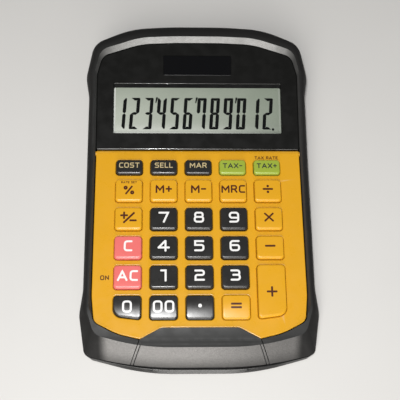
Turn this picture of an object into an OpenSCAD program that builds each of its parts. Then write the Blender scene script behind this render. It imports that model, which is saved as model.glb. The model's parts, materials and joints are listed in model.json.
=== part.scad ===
// Water-protected desk calculator whose keyboard lifts up on a rear hinge.
// Millimetres. +Z is up and +Y runs towards the display. The origin lies on the
// table, under the middle of the body.

/* [Body] */
// Width across the four corner flares
body_w = 108.5; // [106.5:0.5:112]
// Length from the front lip to the back
body_l = 168.5; // [167.5:0.5:172]
// Height of the rim's highest point above the table
body_h = 33.4; // [32:0.2:36]
// Slope of the keypad surface, in degrees
keypad_tilt = 4.41; // [4:0.01:4.8]
// Slope of the display surface, in degrees
display_tilt = 11.72; // [11:0.01:12.4]
// Y of the line where the keypad and display surfaces meet
fold_y = 19.33; // [19.2:0.01:19.5]
// Height of the raised rim above those surfaces
rim_h = 1.35; // [0.9:0.05:1.8]
// Wall thickness of the lower shell
wall_t = 1.8; // [1.5:0.1:2]
// Height of the rubber feet below the lower shell
foot_h = 1.2; // [0.8:0.1:1.4]

/* [Keyboard] */
// Distance between key columns
key_pitch_x = 16.27; // [16:0.01:16.6]
// Distance between the main key rows
key_pitch_y = 13.9; // [13.6:0.1:14]
// Width of a key
key_w = 13; // [12.4:0.1:13.2]
// Depth of a main key, front to back
key_d = 10.9; // [10.6:0.1:11.3]
// Depth of a key in the slim back row
key_slim_d = 7.3; // [7:0.1:7.6]
// Height of the key tops above the panel
key_rise = 1.5; // [1.2:0.1:1.8]
// Distance that a key travels when pressed
key_travel = 1.2; // [0.8:0.1:1.2]
// Gap between a key and its hole
key_gap = 0.2; // [0.15:0.05:0.3]
// Thickness of the yellow key panel
panel_t = 1.6; // [1.4:0.1:1.8]
// Gap between the keyboard and the case around it
panel_gap = 0.35; // [0.3:0.05:0.45]

/* [Display] */
// Width of the visible display area
lcd_w = 81; // [78:0.5:82]
// Front edge of the visible display area, along the sloped surface
lcd_front = 28.2; // [27.8:0.1:28.6]
// Back edge of the display opening, along the sloped surface
lcd_back = 53.7; // [53.2:0.1:54]
// Width of the solar window
solar_w = 33; // [30:0.5:34]
// Front edge of the solar window, along the sloped surface
solar_front = 57.8; // [57.6:0.1:58.2]
// Back edge of the solar window, along the sloped surface
solar_back = 67.7; // [66:0.1:68]
// Thickness of the fascia plate
fascia_t = 2; // [1.6:0.1:2.2]

/* [Battery] */
// Radius of the coin cell
cell_r = 10; // [8:0.5:10]
// Thickness of the coin cell
cell_t = 3.2; // [2:0.1:3.2]
// Y of the coin cell's centre
cell_y = 48; // [46:0.5:50]

/* [Hidden] */
$fn = 40;

BLACK = "#1b1b1c";
DARK_GREY = "#2c2d2d";
TEXTURED = "#8d8d8c";
YELLOW = "#e3aa2c";
RUBBER = "#3a3a3a";
STEEL = "#b9bcc0";
GREEN_BOARD = "#2f6b42";

// Points along each rounded corner
ARC = 4;

hw = body_w / 2;
hl = body_l / 2;
base_z = foot_h;

// Sloped surfaces: height at Y = 0 and rise per millimetre
crest_back = hl - 8.45;
display_slope = tan(display_tilt);
display_z0 = body_h - rim_h - display_slope * crest_back;
keypad_slope = tan(keypad_tilt);
keypad_z0 = display_z0 + (display_slope - keypad_slope) * fold_y;
// Half length of the soft bend between the two surfaces
bend = 6;

// Parting plane of the two shells
part_z0 = 15.4;
part_slope = 0.121;

// Key rows and columns, in the keypad surface
row_y = [10.15, for (r = [0:4]) -1.8 - key_pitch_y * r];
tall_w = 13.3;
tall_d = key_pitch_y + key_d + 0.1;
tall_y = (row_y[4] + row_y[5]) / 2 + 0.15;

// Layers of the keyboard, measured from the panel's surface
flange_top = -panel_t - 0.1;
flange_t = 0.8;
flange_rim = 0.5;
mat_top = flange_top - flange_t - key_travel - 0.5;
dome_h = 0.3;
mat_t = 0.8;
back_top = mat_top - mat_t;
back_t = 1;
membrane_top = back_top - back_t - 0.5;
membrane_t = 0.3;
floor_top = membrane_top - membrane_t;
floor_t = 1.4;
// Height of the sill under the front tab
tab_bottom = -5.5;
sill_top = tab_bottom - 0.4;

// Hinge of the keyboard
panel_back = 19.55;
hinge_r = 1.55;
hinge_y = panel_back - hinge_r;
hinge_n = -hinge_r - 0.05;
hinge_x = 48;
pin_r = 1.2;
pin_gap = 0.08;
pin_end = 49.7;

// Layers of the display, measured from the fascia's surface
lens_t = 1;
glass_top = -fascia_t - lens_t - 0.2;
glass_t = 2.2;
shelf_t = 1.6;
board_top = -8;
board_t = 1.2;

// Where things are fixed
case_screw_at = [[40, -73], [45, 4], [38, 67]];
case_screw_top = [11, 10.3, 18];
// Where the lower shell's posts end and the upper shell's begin
post_top = [6.2, 6.4, 12];
board_screw_at = [[40, 60], [26, 68.5]];
// Panel screws stand in the gaps between keys: column, and the row behind the gap
panel_screw_at = [[-1.5, 0], [1.5, 0], [-1.5, 2], [1.5, 2], [-0.5, 4], [0.5, 4]];
foot_at = [[43, -57], [41, 57]];
foot_r = 4.5;

cell_x = -3;
cover_w = 50;
cover_d = 32;
cover_t = 1.6;
cover_screw_x = 18;

// name, column, row, colour
KEYS = [
    ["key_cost", -2, 0, BLACK], ["key_sell", -1, 0, BLACK], ["key_margin", 0, 0, BLACK],
    ["key_tax_minus", 1, 0, "#9bc34b"], ["key_tax_plus", 2, 0, "#9bc34b"],
    ["key_percent", -2, 1, YELLOW], ["key_m_plus", -1, 1, YELLOW], ["key_m_minus", 0, 1, YELLOW],
    ["key_mrc", 1, 1, YELLOW], ["key_divide", 2, 1, YELLOW],
    ["key_sign", -2, 2, YELLOW], ["key_7", -1, 2, BLACK], ["key_8", 0, 2, BLACK],
    ["key_9", 1, 2, BLACK], ["key_multiply", 2, 2, YELLOW],
    ["key_clear", -2, 3, "#f27264"], ["key_4", -1, 3, BLACK], ["key_5", 0, 3, BLACK],
    ["key_6", 1, 3, BLACK], ["key_minus", 2, 3, YELLOW],
    ["key_all_clear", -2, 4, "#f27264"], ["key_1", -1, 4, BLACK], ["key_2", 0, 4, BLACK],
    ["key_3", 1, 4, BLACK], ["key_plus", 2, 4, YELLOW],
    ["key_0", -2, 5, BLACK], ["key_00", -1, 5, BLACK], ["key_point", 0, 5, BLACK],
    ["key_equals", 1, 5, YELLOW]
];

// ---- outlines -------------------------------------------------------------
// A vertex is [x, y, corner radius]; radius 0 keeps the point itself.
// Half outlines run along the right side from the front to the back.

function unit(v) = v / norm(v);
function xy(p) = [p[0], p[1]];
function turned(v, ang) = [v[0] * cos(ang) - v[1] * sin(ang), v[0] * sin(ang) + v[1] * cos(ang)];

// Points of the corner at p between its neighbours a and b
function corner(a, p, b) =
    let (u = unit(xy(a) - xy(p)), v = unit(xy(b) - xy(p)))
    p[2] == 0 ? [xy(p)] :
    norm(u + v) < 0.01 ? [for (k = [0:ARC]) xy(p) + v * (k / ARC - 0.5)] :
    let (
        half = acos(max(-1, min(1, u * v))) / 2,
        centre = xy(p) + unit(u + v) * p[2] / sin(half),
        start = xy(p) + u * p[2] / tan(half) - centre,
        sweep = -sign(cross(u, v)) * (180 - 2 * half)
    )
    [for (k = [0:ARC]) centre + turned(start, sweep * k / ARC)];

// Rounded closed outline
function rounded(v) =
    let (n = len(v))
    [for (i = [0:n - 1]) each corner(v[(i + n - 1) % n], v[i], v[(i + 1) % n])];

// Neighbours of vertex i in a half outline
function before(v, i) = i == 0 ? [-v[0][0], v[0][1]] : xy(v[i - 1]);
function after(v, i) = i == len(v) - 1 ? [-v[i][0], v[i][1]] : xy(v[i + 1]);

function half_ring(v) = [for (i = [0:len(v) - 1]) each corner(before(v, i), v[i], after(v, i))];
function mirrored(p) =
    [for (i = [len(p) - 1:-1:0]) [-p[i][0], for (k = [1:len(p[i]) - 1]) p[i][k]]];
function full_ring(v) = let (h = half_ring(v)) concat(h, mirrored(h));

// Half outline moved inwards by d
function inset(v, d) = [for (i = [0:len(v) - 1])
    let (
        e = unit(xy(v[i]) - before(v, i)),
        f = unit(after(v, i) - xy(v[i])),
        n = [-e[1], e[0]],
        m = [-f[1], f[0]],
        r = v[i][2] - d * sign(cross(e, f))
    )
    [each xy(v[i]) + (n + m) * d / (1 + n * m), v[i][2] == 0 ? 0 : max(r, 0.3)]];

// Rectangle with rounded corners
function box_v(x, y, w, d, r) =
    [for (s = [[-1, -1], [1, -1], [1, 1], [-1, 1]]) [x + s[0] * w / 2, y + s[1] * d / 2, r]];

// Vertices that keep the bend in the two surfaces on a straight side
function bend_v(x) = [for (s = [-1, -0.4, 0.4, 1]) [x, fold_y + s * bend, 0]];

parting_v = [
    [hw - 28, -hl + 2.2, 150], [hw - 2.6, -hl + 7.6, 3.5], [hw + 0.13, -hl + 25.4, 12],
    [hw - 1.4, -hl + 36, 20], each bend_v(hw - 1.45), [hw - 1.5, hl - 37, 20],
    [hw + 0.13, hl - 26.8, 12], [hw - 3.3, hl - 9.8, 9], [hw - 21, hl - 1.6, 45], [hw - 39, hl, 200]
];
crest_v = [
    [hw - 28, -hl + 9.3, 100], [hw - 7.2, -hl + 15, 6], [hw - 3.9, -hl + 25.4, 12],
    [hw - 4, -hl + 36, 20], each bend_v(hw - 4), [hw - 4, hl - 37, 20],
    [hw - 4.1, hl - 26.8, 12], [hw - 6.9, hl - 14.6, 8], [hw - 24, hl - 8.9, 50], [hw - 42, crest_back, 200]
];
bottom_v = [
    [hw - 30, -hl, 100], [hw - 4, -hl + 7, 4], [hw - 2.6, -hl + 25.4, 12],
    [hw - 3.6, -hl + 36, 20], each bend_v(hw - 3.8), [hw - 4, hl - 37, 20],
    [hw - 4, hl - 28, 12], [hw - 7.3, hl - 15, 9], [hw - 23, hl - 8.5, 45], [hw - 41, hl - 6.8, 200]
];
// Foot and top of the bevel inside the rim
bevel_low_v = [
    [hw - 30, -hl + 19.5, 10], [hw - 8.6, -hl + 20.3, 4], [hw - 5.35, -hl + 27, 8],
    [hw - 5.35, -hl + 38, 20], each bend_v(hw - 5.35), [hw - 5.35, hl - 39, 20],
    [hw - 5.35, hl - 27.5, 10], [hw - 8, hl - 18, 6], [hw - 27, hl - 11.9, 40], [hw - 44, hl - 11.2, 60]
];
bevel_high_v = [
    [hw - 30, -hl + 19, 10], [hw - 8, -hl + 19.6, 4], [hw - 4.6, -hl + 27, 8],
    [hw - 4.55, -hl + 38, 20], each bend_v(hw - 4.55), [hw - 4.55, hl - 39, 20],
    [hw - 4.6, hl - 26, 10], [hw - 7.1, hl - 15.7, 7], [hw - 26.3, hl - 9.35, 40], [hw - 44, hl - 8.65, 60]
];
// Fascia, in the display surface
fascia_front = 20.2;
fascia_gap = 0.12;
// Back wall of the keyboard's well, just under the fascia's front edge
well_back = fascia_front + 0.4;
fascia_v = [
    [hw - 5.35 - fascia_gap, fascia_front, 1],
    for (i = [9:12])
        let (v = bevel_low_v[i])
        [v[0] - fascia_gap, v[1] / cos(display_tilt) - fascia_gap, v[2]]
];
// Yellow panel, in the keypad surface
panel_v = [[17.3, -66.4, 5], [26.6, -71.4, 1], [37, -69, 30], [47.3, -63.6, 4],
    [48.5, -52, 30], [48.4, hinge_y, 0.3]];
// Front tab, in the keypad surface; its sides spread towards the front
tab_v = [[32.8, -86, 0.3], [27.6, -74.2, 0.3], [26.75, -71.5, 0.3], [17.35, -66.5, 5]];
// Tub under the keyboard, in the keypad surface
tub_v = [[20, -78, 2], [28.5, -77, 2], [38, -71.5, 20], [48.8, -64.6, 4],
    [49.7, -52, 30], [49.7, well_back + 1.6, 0.5]];

// Well that the keyboard drops into, in the keypad surface
well_v = [
    for (i = [0:len(panel_v) - 1])
        let (g = inset(panel_v, -panel_gap)[i])
        i == len(panel_v) - 1 ? [g[0], well_back, 0.3] : g
];

// ---- surfaces -------------------------------------------------------------

function ramp(a, b, y) = let (t = max(0, min(1, (y - a) / (b - a)))) t * t * (3 - 2 * t);
function keypad_z(y) = keypad_z0 + keypad_slope * y;
function display_z(y) = display_z0 + display_slope * y;
function surface_z(y) =
    y < fold_y - bend ? keypad_z(y) :
    y > fold_y + bend ? display_z(y) :
    keypad_z(y) + (display_slope - keypad_slope) * pow(y - fold_y + bend, 2) / (4 * bend);
function crest_z(y) = surface_z(y) + 0.2 + (rim_h - 0.2) * ramp(-72, -56, y);
function part_z(y) = part_z0 + part_slope * y;

// Shape of the outer wall: round along the sides, flatter across the front
function wall_power(y) = 1.8 - 0.8 * ramp(-74, -52, y);

// Ring of the upper wall; ang runs from 0 at the parting line to 90 at the crest
function upper_ring(ang) =
    let (
        low = half_ring(parting_v),
        top = half_ring(crest_v),
        h = [for (i = [0:len(low) - 1])
            let (
                e = wall_power(low[i][1]),
                w = pow(cos(ang), e),
                z0 = part_z(low[i][1]),
                z1 = crest_z(top[i][1])
            )
            [each top[i] + (low[i] - top[i]) * w, z0 + (z1 - z0) * pow(sin(ang), e)]]
    )
    concat(h, mirrored(h));

function flat_ring(v, z) = [for (p = full_ring(v)) [p[0], p[1], z]];
function part_ring(v, dz) = [for (p = full_ring(v)) [p[0], p[1], part_z(p[1]) + dz]];

// Closed solid through a stack of rings; the ends are closed side to side
module loft(rings) {
    n = len(rings[0]);
    last = (len(rings) - 1) * n;
    sides = [for (k = [0:len(rings) - 2]) for (i = [0:n - 1])
        let (a = k * n + i, b = k * n + (i + 1) % n) each [[a, a + n, b], [b, a + n, b + n]]];
    bottom = [for (i = [0:n / 2 - 2]) each [[i, i + 1, n - 1 - i], [i + 1, n - 2 - i, n - 1 - i]]];
    top = [for (f = bottom) [last + f[2], last + f[1], last + f[0]]];
    polyhedron([for (r = rings) each r], concat(sides, bottom, top), convexity = 6);
}

// Prism between two heights
module slab(points, z0, z1) {
    translate([0, 0, z0])
        linear_extrude(z1 - z0)
            polygon(points);
}

// Cylinder between two heights
module post(r, z0, z1) {
    translate([0, 0, z0])
        cylinder(r = r, h = z1 - z0);
}

module on_keypad() {
    translate([0, 0, keypad_z0])
        rotate([keypad_tilt, 0, 0])
            children();
}

module on_display() {
    translate([0, 0, display_z0])
        rotate([display_tilt, 0, 0])
            children();
}

module both_sides(p) {
    for (s = [-1, 1])
        translate([s * p[0], p[1], 0])
            children();
}

// ---- keyboard -------------------------------------------------------------

function key_at(k) =
    k[0] == "key_plus" ? [k[1] * key_pitch_x, tall_y] : [k[1] * key_pitch_x, row_y[k[2]]];
function row_d(r) = r == 0 ? key_slim_d : key_d;
function key_size(k) = k[0] == "key_plus" ? [tall_w, tall_d] : [key_w, row_d(k[2])];

// Outline of a key grown by g; the two outer keys of the front row have a large slanted corner
function key_outline(k, g) =
    let (s = key_size(k) / 2 + [g, g], r = 1.8 + g)
    rounded([
        [-s[0], -s[1] + (k[0] == "key_0" ? 1.6 : 0), k[0] == "key_0" ? 4 + g : r],
        [s[0], -s[1] + (k[0] == "key_plus" ? 1.8 : 0), k[0] == "key_plus" ? 4 + g : r],
        [s[0], s[1], r],
        [-s[0], s[1], r]
    ]);

module at_key(k) {
    translate([key_at(k)[0], key_at(k)[1], 0])
        children();
}

// Hollow cap with a flange that holds it under the panel
module key_cap(k) {
    cap_wall = 1.2;
    color(k[3])
    on_keypad()
    at_key(k)
    difference() {
        union() {
            hull() {
                slab(key_outline(k, 0), flange_top - 0.1, key_rise - 0.5);
                slab(key_outline(k, -0.5), key_rise - 0.1, key_rise);
            }
            slab(key_outline(k, flange_rim), flange_top - flange_t, flange_top);
        }
        slab(key_outline(k, -cap_wall), flange_top - flange_t - 1, key_rise - cap_wall);
    }
}

// Middle of the gap in front of a row
function gap_y(r) = (row_y[r] - row_d(r) / 2 + row_y[r + 1] + key_d / 2) / 2;

module at_panel_screws() {
    for (p = panel_screw_at)
        translate([p[0] * key_pitch_x, gap_y(p[1]), 0])
            children();
}

// The skirt under the panel holds the mat and the back plate
skirt_in = 1;
skirt_t = 0.9;

module keyboard_frame() {
    color(YELLOW)
    on_keypad()
    difference() {
        union() {
            slab(full_ring(panel_v), -panel_t, 0);
            difference() {
                slab(full_ring(inset(panel_v, skirt_in)), back_top, -panel_t);
                slab(full_ring(inset(panel_v, skirt_in + skirt_t)), back_top - 1, -panel_t + 0.5);
            }
            at_panel_screws() post(1.5, back_top, -panel_t);
            translate([0, hinge_y, hinge_n]) {
                rotate([0, 90, 0]) cylinder(r = hinge_r, h = 2 * hinge_x, center = true);
                rotate([0, 90, 0]) cylinder(r = pin_r, h = 2 * pin_end, center = true);
            }
        }
        for (k = KEYS)
            at_key(k) slab(key_outline(k, key_gap), -panel_t - 1, 1);
        at_panel_screws() post(0.72, back_top - 1, -2.1);
    }
}

module front_tab() {
    color(TEXTURED)
    difference() {
        intersection() {
            upper_solid();
            on_keypad() slab(full_ring(tab_v), tab_bottom, 6);
        }
        on_keypad()
        intersection() {
            slab(full_ring(inset(tab_v, 1.8)), tab_bottom - 1, -1.9);
            translate([-40, -78.5, -20]) cube([80, 14, 30]);
        }
    }
}

module key_mat() {
    color(RUBBER)
    on_keypad()
    difference() {
        union() {
            slab(full_ring(inset(panel_v, skirt_in + skirt_t + 0.1)), back_top, mat_top);
            for (k = KEYS)
                at_key(k) {
                    post(3.2, mat_top - 0.1, mat_top + dome_h);
                    post(1.6, back_top - 0.8, back_top + 0.1);
                }
        }
        at_panel_screws() post(1.8, back_top - 1, mat_top + 1);
    }
}

module keyboard_backplate() {
    color(DARK_GREY)
    on_keypad()
    difference() {
        slab(full_ring(inset(panel_v, skirt_in)), back_top - back_t, back_top);
        for (k = KEYS)
            at_key(k) post(2.3, back_top - 2, back_top + 1);
        at_panel_screws() {
            post(0.8, back_top - 2, back_top + 1);
            post(1.6, back_top - 2, back_top - 0.5);
        }
    }
}

module keyboard_screws() {
    color(STEEL)
    on_keypad()
    at_panel_screws()
    difference() {
        union() {
            post(1.45, back_top - back_t, back_top - 0.5);
            post(0.7, back_top - 0.6, -2.3);
        }
        screw_slots(0.28, 1.7, back_top - back_t, 0.3);
    }
}

// Cross recess in a screw head that faces down
module screw_slots(w, l, z, depth) {
    for (a = [0, 90])
        rotate(a)
            translate([-l / 2, -w / 2, z - 1])
                cube([l, w, depth + 1]);
}

// ---- case -----------------------------------------------------------------

module upper_solid() {
    loft([for (ang = [0:18:90]) upper_ring(ang)]);
}

// Room above the two surfaces, with the rim's bevel carried on past the crest
module rim_pocket() {
    low = [for (p = full_ring(bevel_low_v)) [p[0], p[1], surface_z(p[1])]];
    high = [for (p = full_ring(bevel_high_v)) [p[0], p[1], crest_z(p[1])]];
    loft([low, low + 2.5 * (high - low)]);
}

// Space for the electronics behind the keyboard bay
module upper_cavity() {
    roof = -fascia_t - shelf_t;
    intersection() {
        slab(full_ring(inset(crest_v, 2)), 0, 40);
        on_display() translate([-60, 22.5, roof - 40]) cube([120, 55, 40]);
        translate([-60, 20, 0]) cube([120, 60, 28.5]);
    }
}

module bay_tub() {
    intersection() {
        on_keypad() slab(full_ring(tub_v), floor_top - floor_t, -2);
        slab(full_ring(inset(parting_v, wall_t + 0.4)), 0, 25);
    }
}

module bay_well() {
    on_keypad() {
        slab(full_ring(well_v), floor_top, 5);
        slab(full_ring(inset(tab_v, -panel_gap)), sill_top, 8);
    }
}

module at_case_screws(i) {
    both_sides(case_screw_at[i]) children();
}

// Slot through the bay's back wall, filled by the seal around the membrane's tail
seal_w = 24;
seal_y = [well_back + 0.05, well_back + 3.1];
seal_n = [floor_top - 0.8, membrane_top + 0.8];
tail_w = 18;
tail_t = 0.2;
tail_end = 28.4;

module seal_block() {
    translate([-seal_w / 2, seal_y[0], seal_n[0]])
        cube([seal_w, seal_y[1] - seal_y[0], seal_n[1] - seal_n[0]]);
}

module upper_case() {
    color(BLACK)
    difference() {
        union() {
            difference() {
                upper_solid();
                upper_cavity();
            }
            bay_tub();
            at_case_screws(1) post(3, post_top[1], 11);
            at_case_screws(2) post(3, post_top[2], 28);
            on_display()
                for (p = board_screw_at)
                    both_sides(p) post(2.2, board_top, -fascia_t - 0.5);
        }
        rim_pocket();
        bay_well();
        on_display() {
            slab(full_ring(inset(fascia_v, -0.05)), -fascia_t, 6);
            slab(lcd_area(5.4, 4, 1), -20, 0);
            slab(solar_area(3.6, 2.5, 1), -20, 0);
            for (p = board_screw_at)
                both_sides(p) post(0.95, board_top - 1, -fascia_t - 0.9);
        }
        on_keypad() {
            for (s = [-1, 1])
                translate([s * (hinge_x + 1), hinge_y, hinge_n])
                    rotate([0, 90, 0])
                        cylinder(r = pin_r + pin_gap, h = 2 * (pin_end - hinge_x) - 1, center = true);
            seal_block();
            // way for the membrane's tail between the bay and the seal
            translate([-tail_w / 2 - 0.1, well_back - 0.4, floor_top - 0.05])
                cube([tail_w + 0.2, 1, tail_t + 0.15]);
        }
        for (i = [0:2])
            at_case_screws(i) post(1.22, 4, case_screw_top[i] + 0.3);
    }
}

module lower_solid() {
    loft([
        flat_ring(inset(bottom_v, 1.5), base_z),
        flat_ring(inset(bottom_v, 0.5), base_z + 0.5),
        flat_ring(bottom_v, base_z + 1.6),
        part_ring(parting_v, 0)
    ]);
}

module lower_cavity() {
    loft([
        flat_ring(inset(bottom_v, wall_t + 0.2), base_z + 2),
        part_ring(inset(parting_v, wall_t), 0.5)
    ]);
}

// Ring in the lower shell's edge; a groove for it is g larger all round and open upwards
module gasket_ring(g) {
    outer = inset(parting_v, 0.5 - g);
    inner = inset(parting_v, 1.2 + g);
    difference() {
        loft([part_ring(outer, -0.7 - g), part_ring(outer, g > 0 ? 1 : 0)]);
        loft([part_ring(inner, -2), part_ring(inner, 2)]);
    }
}

// Closed housing around the coin cell, open downwards
cell_top = base_z + cover_t + 0.8 + cell_t;
housing_top = cell_top + 2.4;

module lower_case() {
    color(BLACK)
    difference() {
        union() {
            difference() {
                lower_solid();
                lower_cavity();
            }
            for (i = [0:2])
                at_case_screws(i) post(3.1, base_z, post_top[i] - 0.05);
            slab(rounded(box_v(0, cell_y, cover_w - 1, cover_d - 1, 3)), base_z, housing_top);
        }
        gasket_ring(0.02);
        for (i = [0:2])
            at_case_screws(i) {
                post(2.4, 0, base_z + 1.9);
                post(1.35, 0, 30);
            }
        for (p = foot_at)
            both_sides(p) post(foot_r + 0.05, 0, base_z + 0.4);
        // recess for the cover and its seal
        slab(rounded(box_v(0, cell_y, cover_w + 0.4, cover_d + 0.4, 3.2)), 0, base_z + cover_t + 0.1);
        slab(rounded(box_v(0, cell_y, cover_w - 5, cover_d - 5, 1.4)), 0, base_z + cover_t + 0.75);
        // space for the cell and its contacts
        translate([cell_x, cell_y, 0]) post(cell_r + 0.6, 0, housing_top - 1);
        slab(rounded(box_v(cell_x, cell_y, 8, 2 * cell_r + 6.5, 0.5)), 0, housing_top - 1);
        translate([cover_screw_x, cell_y, 0]) post(1.32, 0, housing_top - 1.2);
    }
}

module case_gasket() {
    color(RUBBER)
        gasket_ring(0);
}

module case_screws() {
    color(STEEL)
    for (i = [0:2])
        at_case_screws(i)
            difference() {
                union() {
                    post(2.1, base_z + 0.3, base_z + 1.9);
                    post(1.2, base_z + 1.8, case_screw_top[i]);
                }
                screw_slots(0.55, 2.6, base_z + 0.3, 0.9);
            }
}

module rubber_feet() {
    color(RUBBER)
    for (p = foot_at)
        both_sides(p)
            rotate_extrude()
                polygon([
                    [0, 0],
                    [foot_r - 0.5, 0],
                    [foot_r, 0.5],
                    [foot_r, base_z + 0.4],
                    [0, base_z + 0.4],
                ]);
}

// ---- display --------------------------------------------------------------

lcd_mid = (lcd_front + lcd_back) / 2;

// Outlines of the two windows, wider by w and deeper by d, with corner radius r
function lcd_area(w, d, r) = rounded(box_v(0, lcd_mid, lcd_w + w, lcd_back - lcd_front + d, r));
function solar_area(w, d, r) =
    rounded(box_v(0, (solar_front + solar_back) / 2, solar_w + w, solar_back - solar_front + d, r));

module display_fascia() {
    color(BLACK)
    on_display()
    difference() {
        slab(full_ring(fascia_v), -fascia_t, 0);
        slab(lcd_area(0.4, 0, 0.6), -5, 5);
        slab(solar_area(0, 0, 0.6), -5, 5);
    }
}

module lcd_window() {
    color("#dfe8e8", 0.35)
    on_display()
        slab(lcd_area(5, 3.6, 1), -fascia_t - lens_t, -fascia_t);
}

module lcd_panel() {
    color("#a7b09c")
    on_display() {
        slab(lcd_area(4, 2, 0.3), glass_top - glass_t / 2, glass_top);
        translate([0, -1, 0])
            slab(lcd_area(4, 4, 0.3), glass_top - glass_t, glass_top - glass_t / 2);
    }
}

module lcd_holder() {
    color("#d8d8d2")
    on_display()
    difference() {
        translate([0, -0.6, 0])
            slab(lcd_area(8, 6.6, 1), glass_top - glass_t - 1, -fascia_t - shelf_t);
        translate([0, -1, 0])
            slab(lcd_area(4.4, 4.4, 0.4), glass_top - glass_t, 0);
        slab(lcd_area(-4, 2, 0.4), -20, 0);
    }
}

module lcd_connector() {
    color("#6d6f78")
    on_display()
        translate([-36, lcd_back - 2, board_top])
            cube([72, 2, glass_top - glass_t - board_top]);
}

module solar_window() {
    color("#101214")
    on_display()
        slab(solar_area(-0.1, -0.1, 0.55), -1.2, 0);
}

module solar_cell() {
    color("#241a2c")
    on_display()
        slab(solar_area(3, 2.1, 0.4), -fascia_t - 1.2, -fascia_t);
}

module solar_leads() {
    color("#b3382c")
    on_display() both_sides([14, solar_back - 2])
        post(0.5, board_top, -fascia_t - 1.2);
}

module main_board() {
    color(GREEN_BOARD)
    on_display()
    difference() {
        slab(full_ring([[44, 24.5, 1], [44, 62.5, 1], [33.5, 62.5, 1], [33.5, 71, 2]]),
            board_top - board_t, board_top);
        for (p = board_screw_at)
            both_sides(p) post(1.15, -20, 0);
    }
}

module controller_chip() {
    color("#161616")
    on_display()
        translate([6, 40, board_top - board_t - 1.5])
            cube([13, 13, 1.5]);
}

module board_screws() {
    color(STEEL)
    on_display()
    for (p = board_screw_at)
        both_sides(p)
            difference() {
                union() {
                    post(1.9, board_top - board_t - 1.2, board_top - board_t);
                    post(0.92, board_top - board_t - 0.1, -fascia_t - 1.2);
                }
                screw_slots(0.5, 2.4, board_top - board_t - 1.2, 0.7);
            }
}

// ---- switch membrane and its tail -----------------------------------------

// Distance from the well's wall to the membrane's edge
membrane_in = 1.5;

module switch_membrane() {
    color("#c9cdb8")
    on_keypad()
        slab(full_ring(inset(well_v, membrane_in)), floor_top, membrane_top);
}

module membrane_tail() {
    color("#b98f3a")
    on_keypad()
        translate([-tail_w / 2, well_back - membrane_in, floor_top])
            cube([tail_w, tail_end - well_back + membrane_in, tail_t]);
}

module tail_seal() {
    color(RUBBER)
    on_keypad()
    difference() {
        seal_block();
        translate([-tail_w / 2 - 0.02, 10, floor_top - 0.02])
            cube([tail_w + 0.04, 30, tail_t + 0.04]);
    }
}

module tail_connector() {
    color("#e6e2d6")
    difference() {
        on_display()
            translate([-tail_w / 2 - 2, 26, board_top])
                cube([tail_w + 4, 3, 1.4]);
        on_keypad()
            translate([-tail_w / 2 - 0.1, 10, floor_top - 0.05])
                cube([tail_w + 0.2, 30, tail_t + 0.1]);
    }
}

// ---- battery --------------------------------------------------------------

module battery() {
    foot = cell_top - cell_t;
    color(STEEL)
    translate([cell_x, cell_y, 0])
        rotate_extrude()
            polygon([
                [0, foot], [cell_r - 1.6, foot], [cell_r - 1.5, foot + 0.3],
                [cell_r, foot + 0.6], [cell_r, cell_top], [0, cell_top]
            ]);
}

module battery_contact_plus() {
    color("#c9b26a")
    translate([cell_x - 3, cell_y + cell_r + 0.1, cell_top - 2.6])
        cube([6, 0.3, 3.6]);
}

module battery_contact_minus() {
    color("#c9b26a")
    translate([cell_x, cell_y + 2, cell_top])
        rotate([90, 0, 0])
            linear_extrude(4)
                polygon([
                    [-7, 1.1], [-3, 1.1], [0, 0.35], [3, 1.1], [7, 1.1],
                    [7, 1.35], [2.9, 1.35], [0, 0.6], [-2.9, 1.35], [-7, 1.35]
                ]);
}

module battery_cover() {
    color(BLACK)
    difference() {
        slab(rounded(box_v(0, cell_y, cover_w, cover_d, 3)), base_z, base_z + cover_t);
        translate([cover_screw_x, cell_y, 0]) {
            post(1.3, 0, 5);
            post(2.2, 0, base_z + 1);
        }
        // finger grip
        for (i = [-3:3])
            translate([-cover_w / 2 + 8, cell_y - 0.4 + i * 2, 0])
                cube([6, 0.8, base_z + 0.5]);
    }
}

module battery_cover_seal() {
    color("#8f3b33")
    difference() {
        translate([0, 0, base_z + cover_t])
            slab(rounded(box_v(0, cell_y, cover_w - 6, cover_d - 6, 1.2)), 0, 0.5);
        slab(rounded(box_v(0, cell_y, cover_w - 9, cover_d - 9, 0.6)), 0, 10);
    }
}

module battery_cover_screw() {
    color(STEEL)
    translate([cover_screw_x, cell_y, 0])
    difference() {
        union() {
            post(2.1, base_z + 0.1, base_z + 1);
            post(1.2, base_z + 0.9, housing_top - 1.6);
        }
        screw_slots(0.55, 2.6, base_z + 0.1, 0.6);
    }
}

// ---- nodes ----------------------------------------------------------------

for (k = KEYS)
    key_cap(k);
keyboard_frame();
front_tab();
key_mat();
keyboard_backplate();
keyboard_screws();
upper_case();
lower_case();
case_gasket();
case_screws();
rubber_feet();
display_fascia();
lcd_window();
lcd_panel();
lcd_holder();
lcd_connector();
solar_window();
solar_cell();
solar_leads();
main_board();
controller_chip();
board_screws();
tail_connector();
switch_membrane();
membrane_tail();
tail_seal();
battery();
battery_contact_plus();
battery_contact_minus();
battery_cover();
battery_cover_seal();
battery_cover_screw();
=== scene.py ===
import json
import math

import bmesh
import bpy
from mathutils import Matrix, Vector

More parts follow.
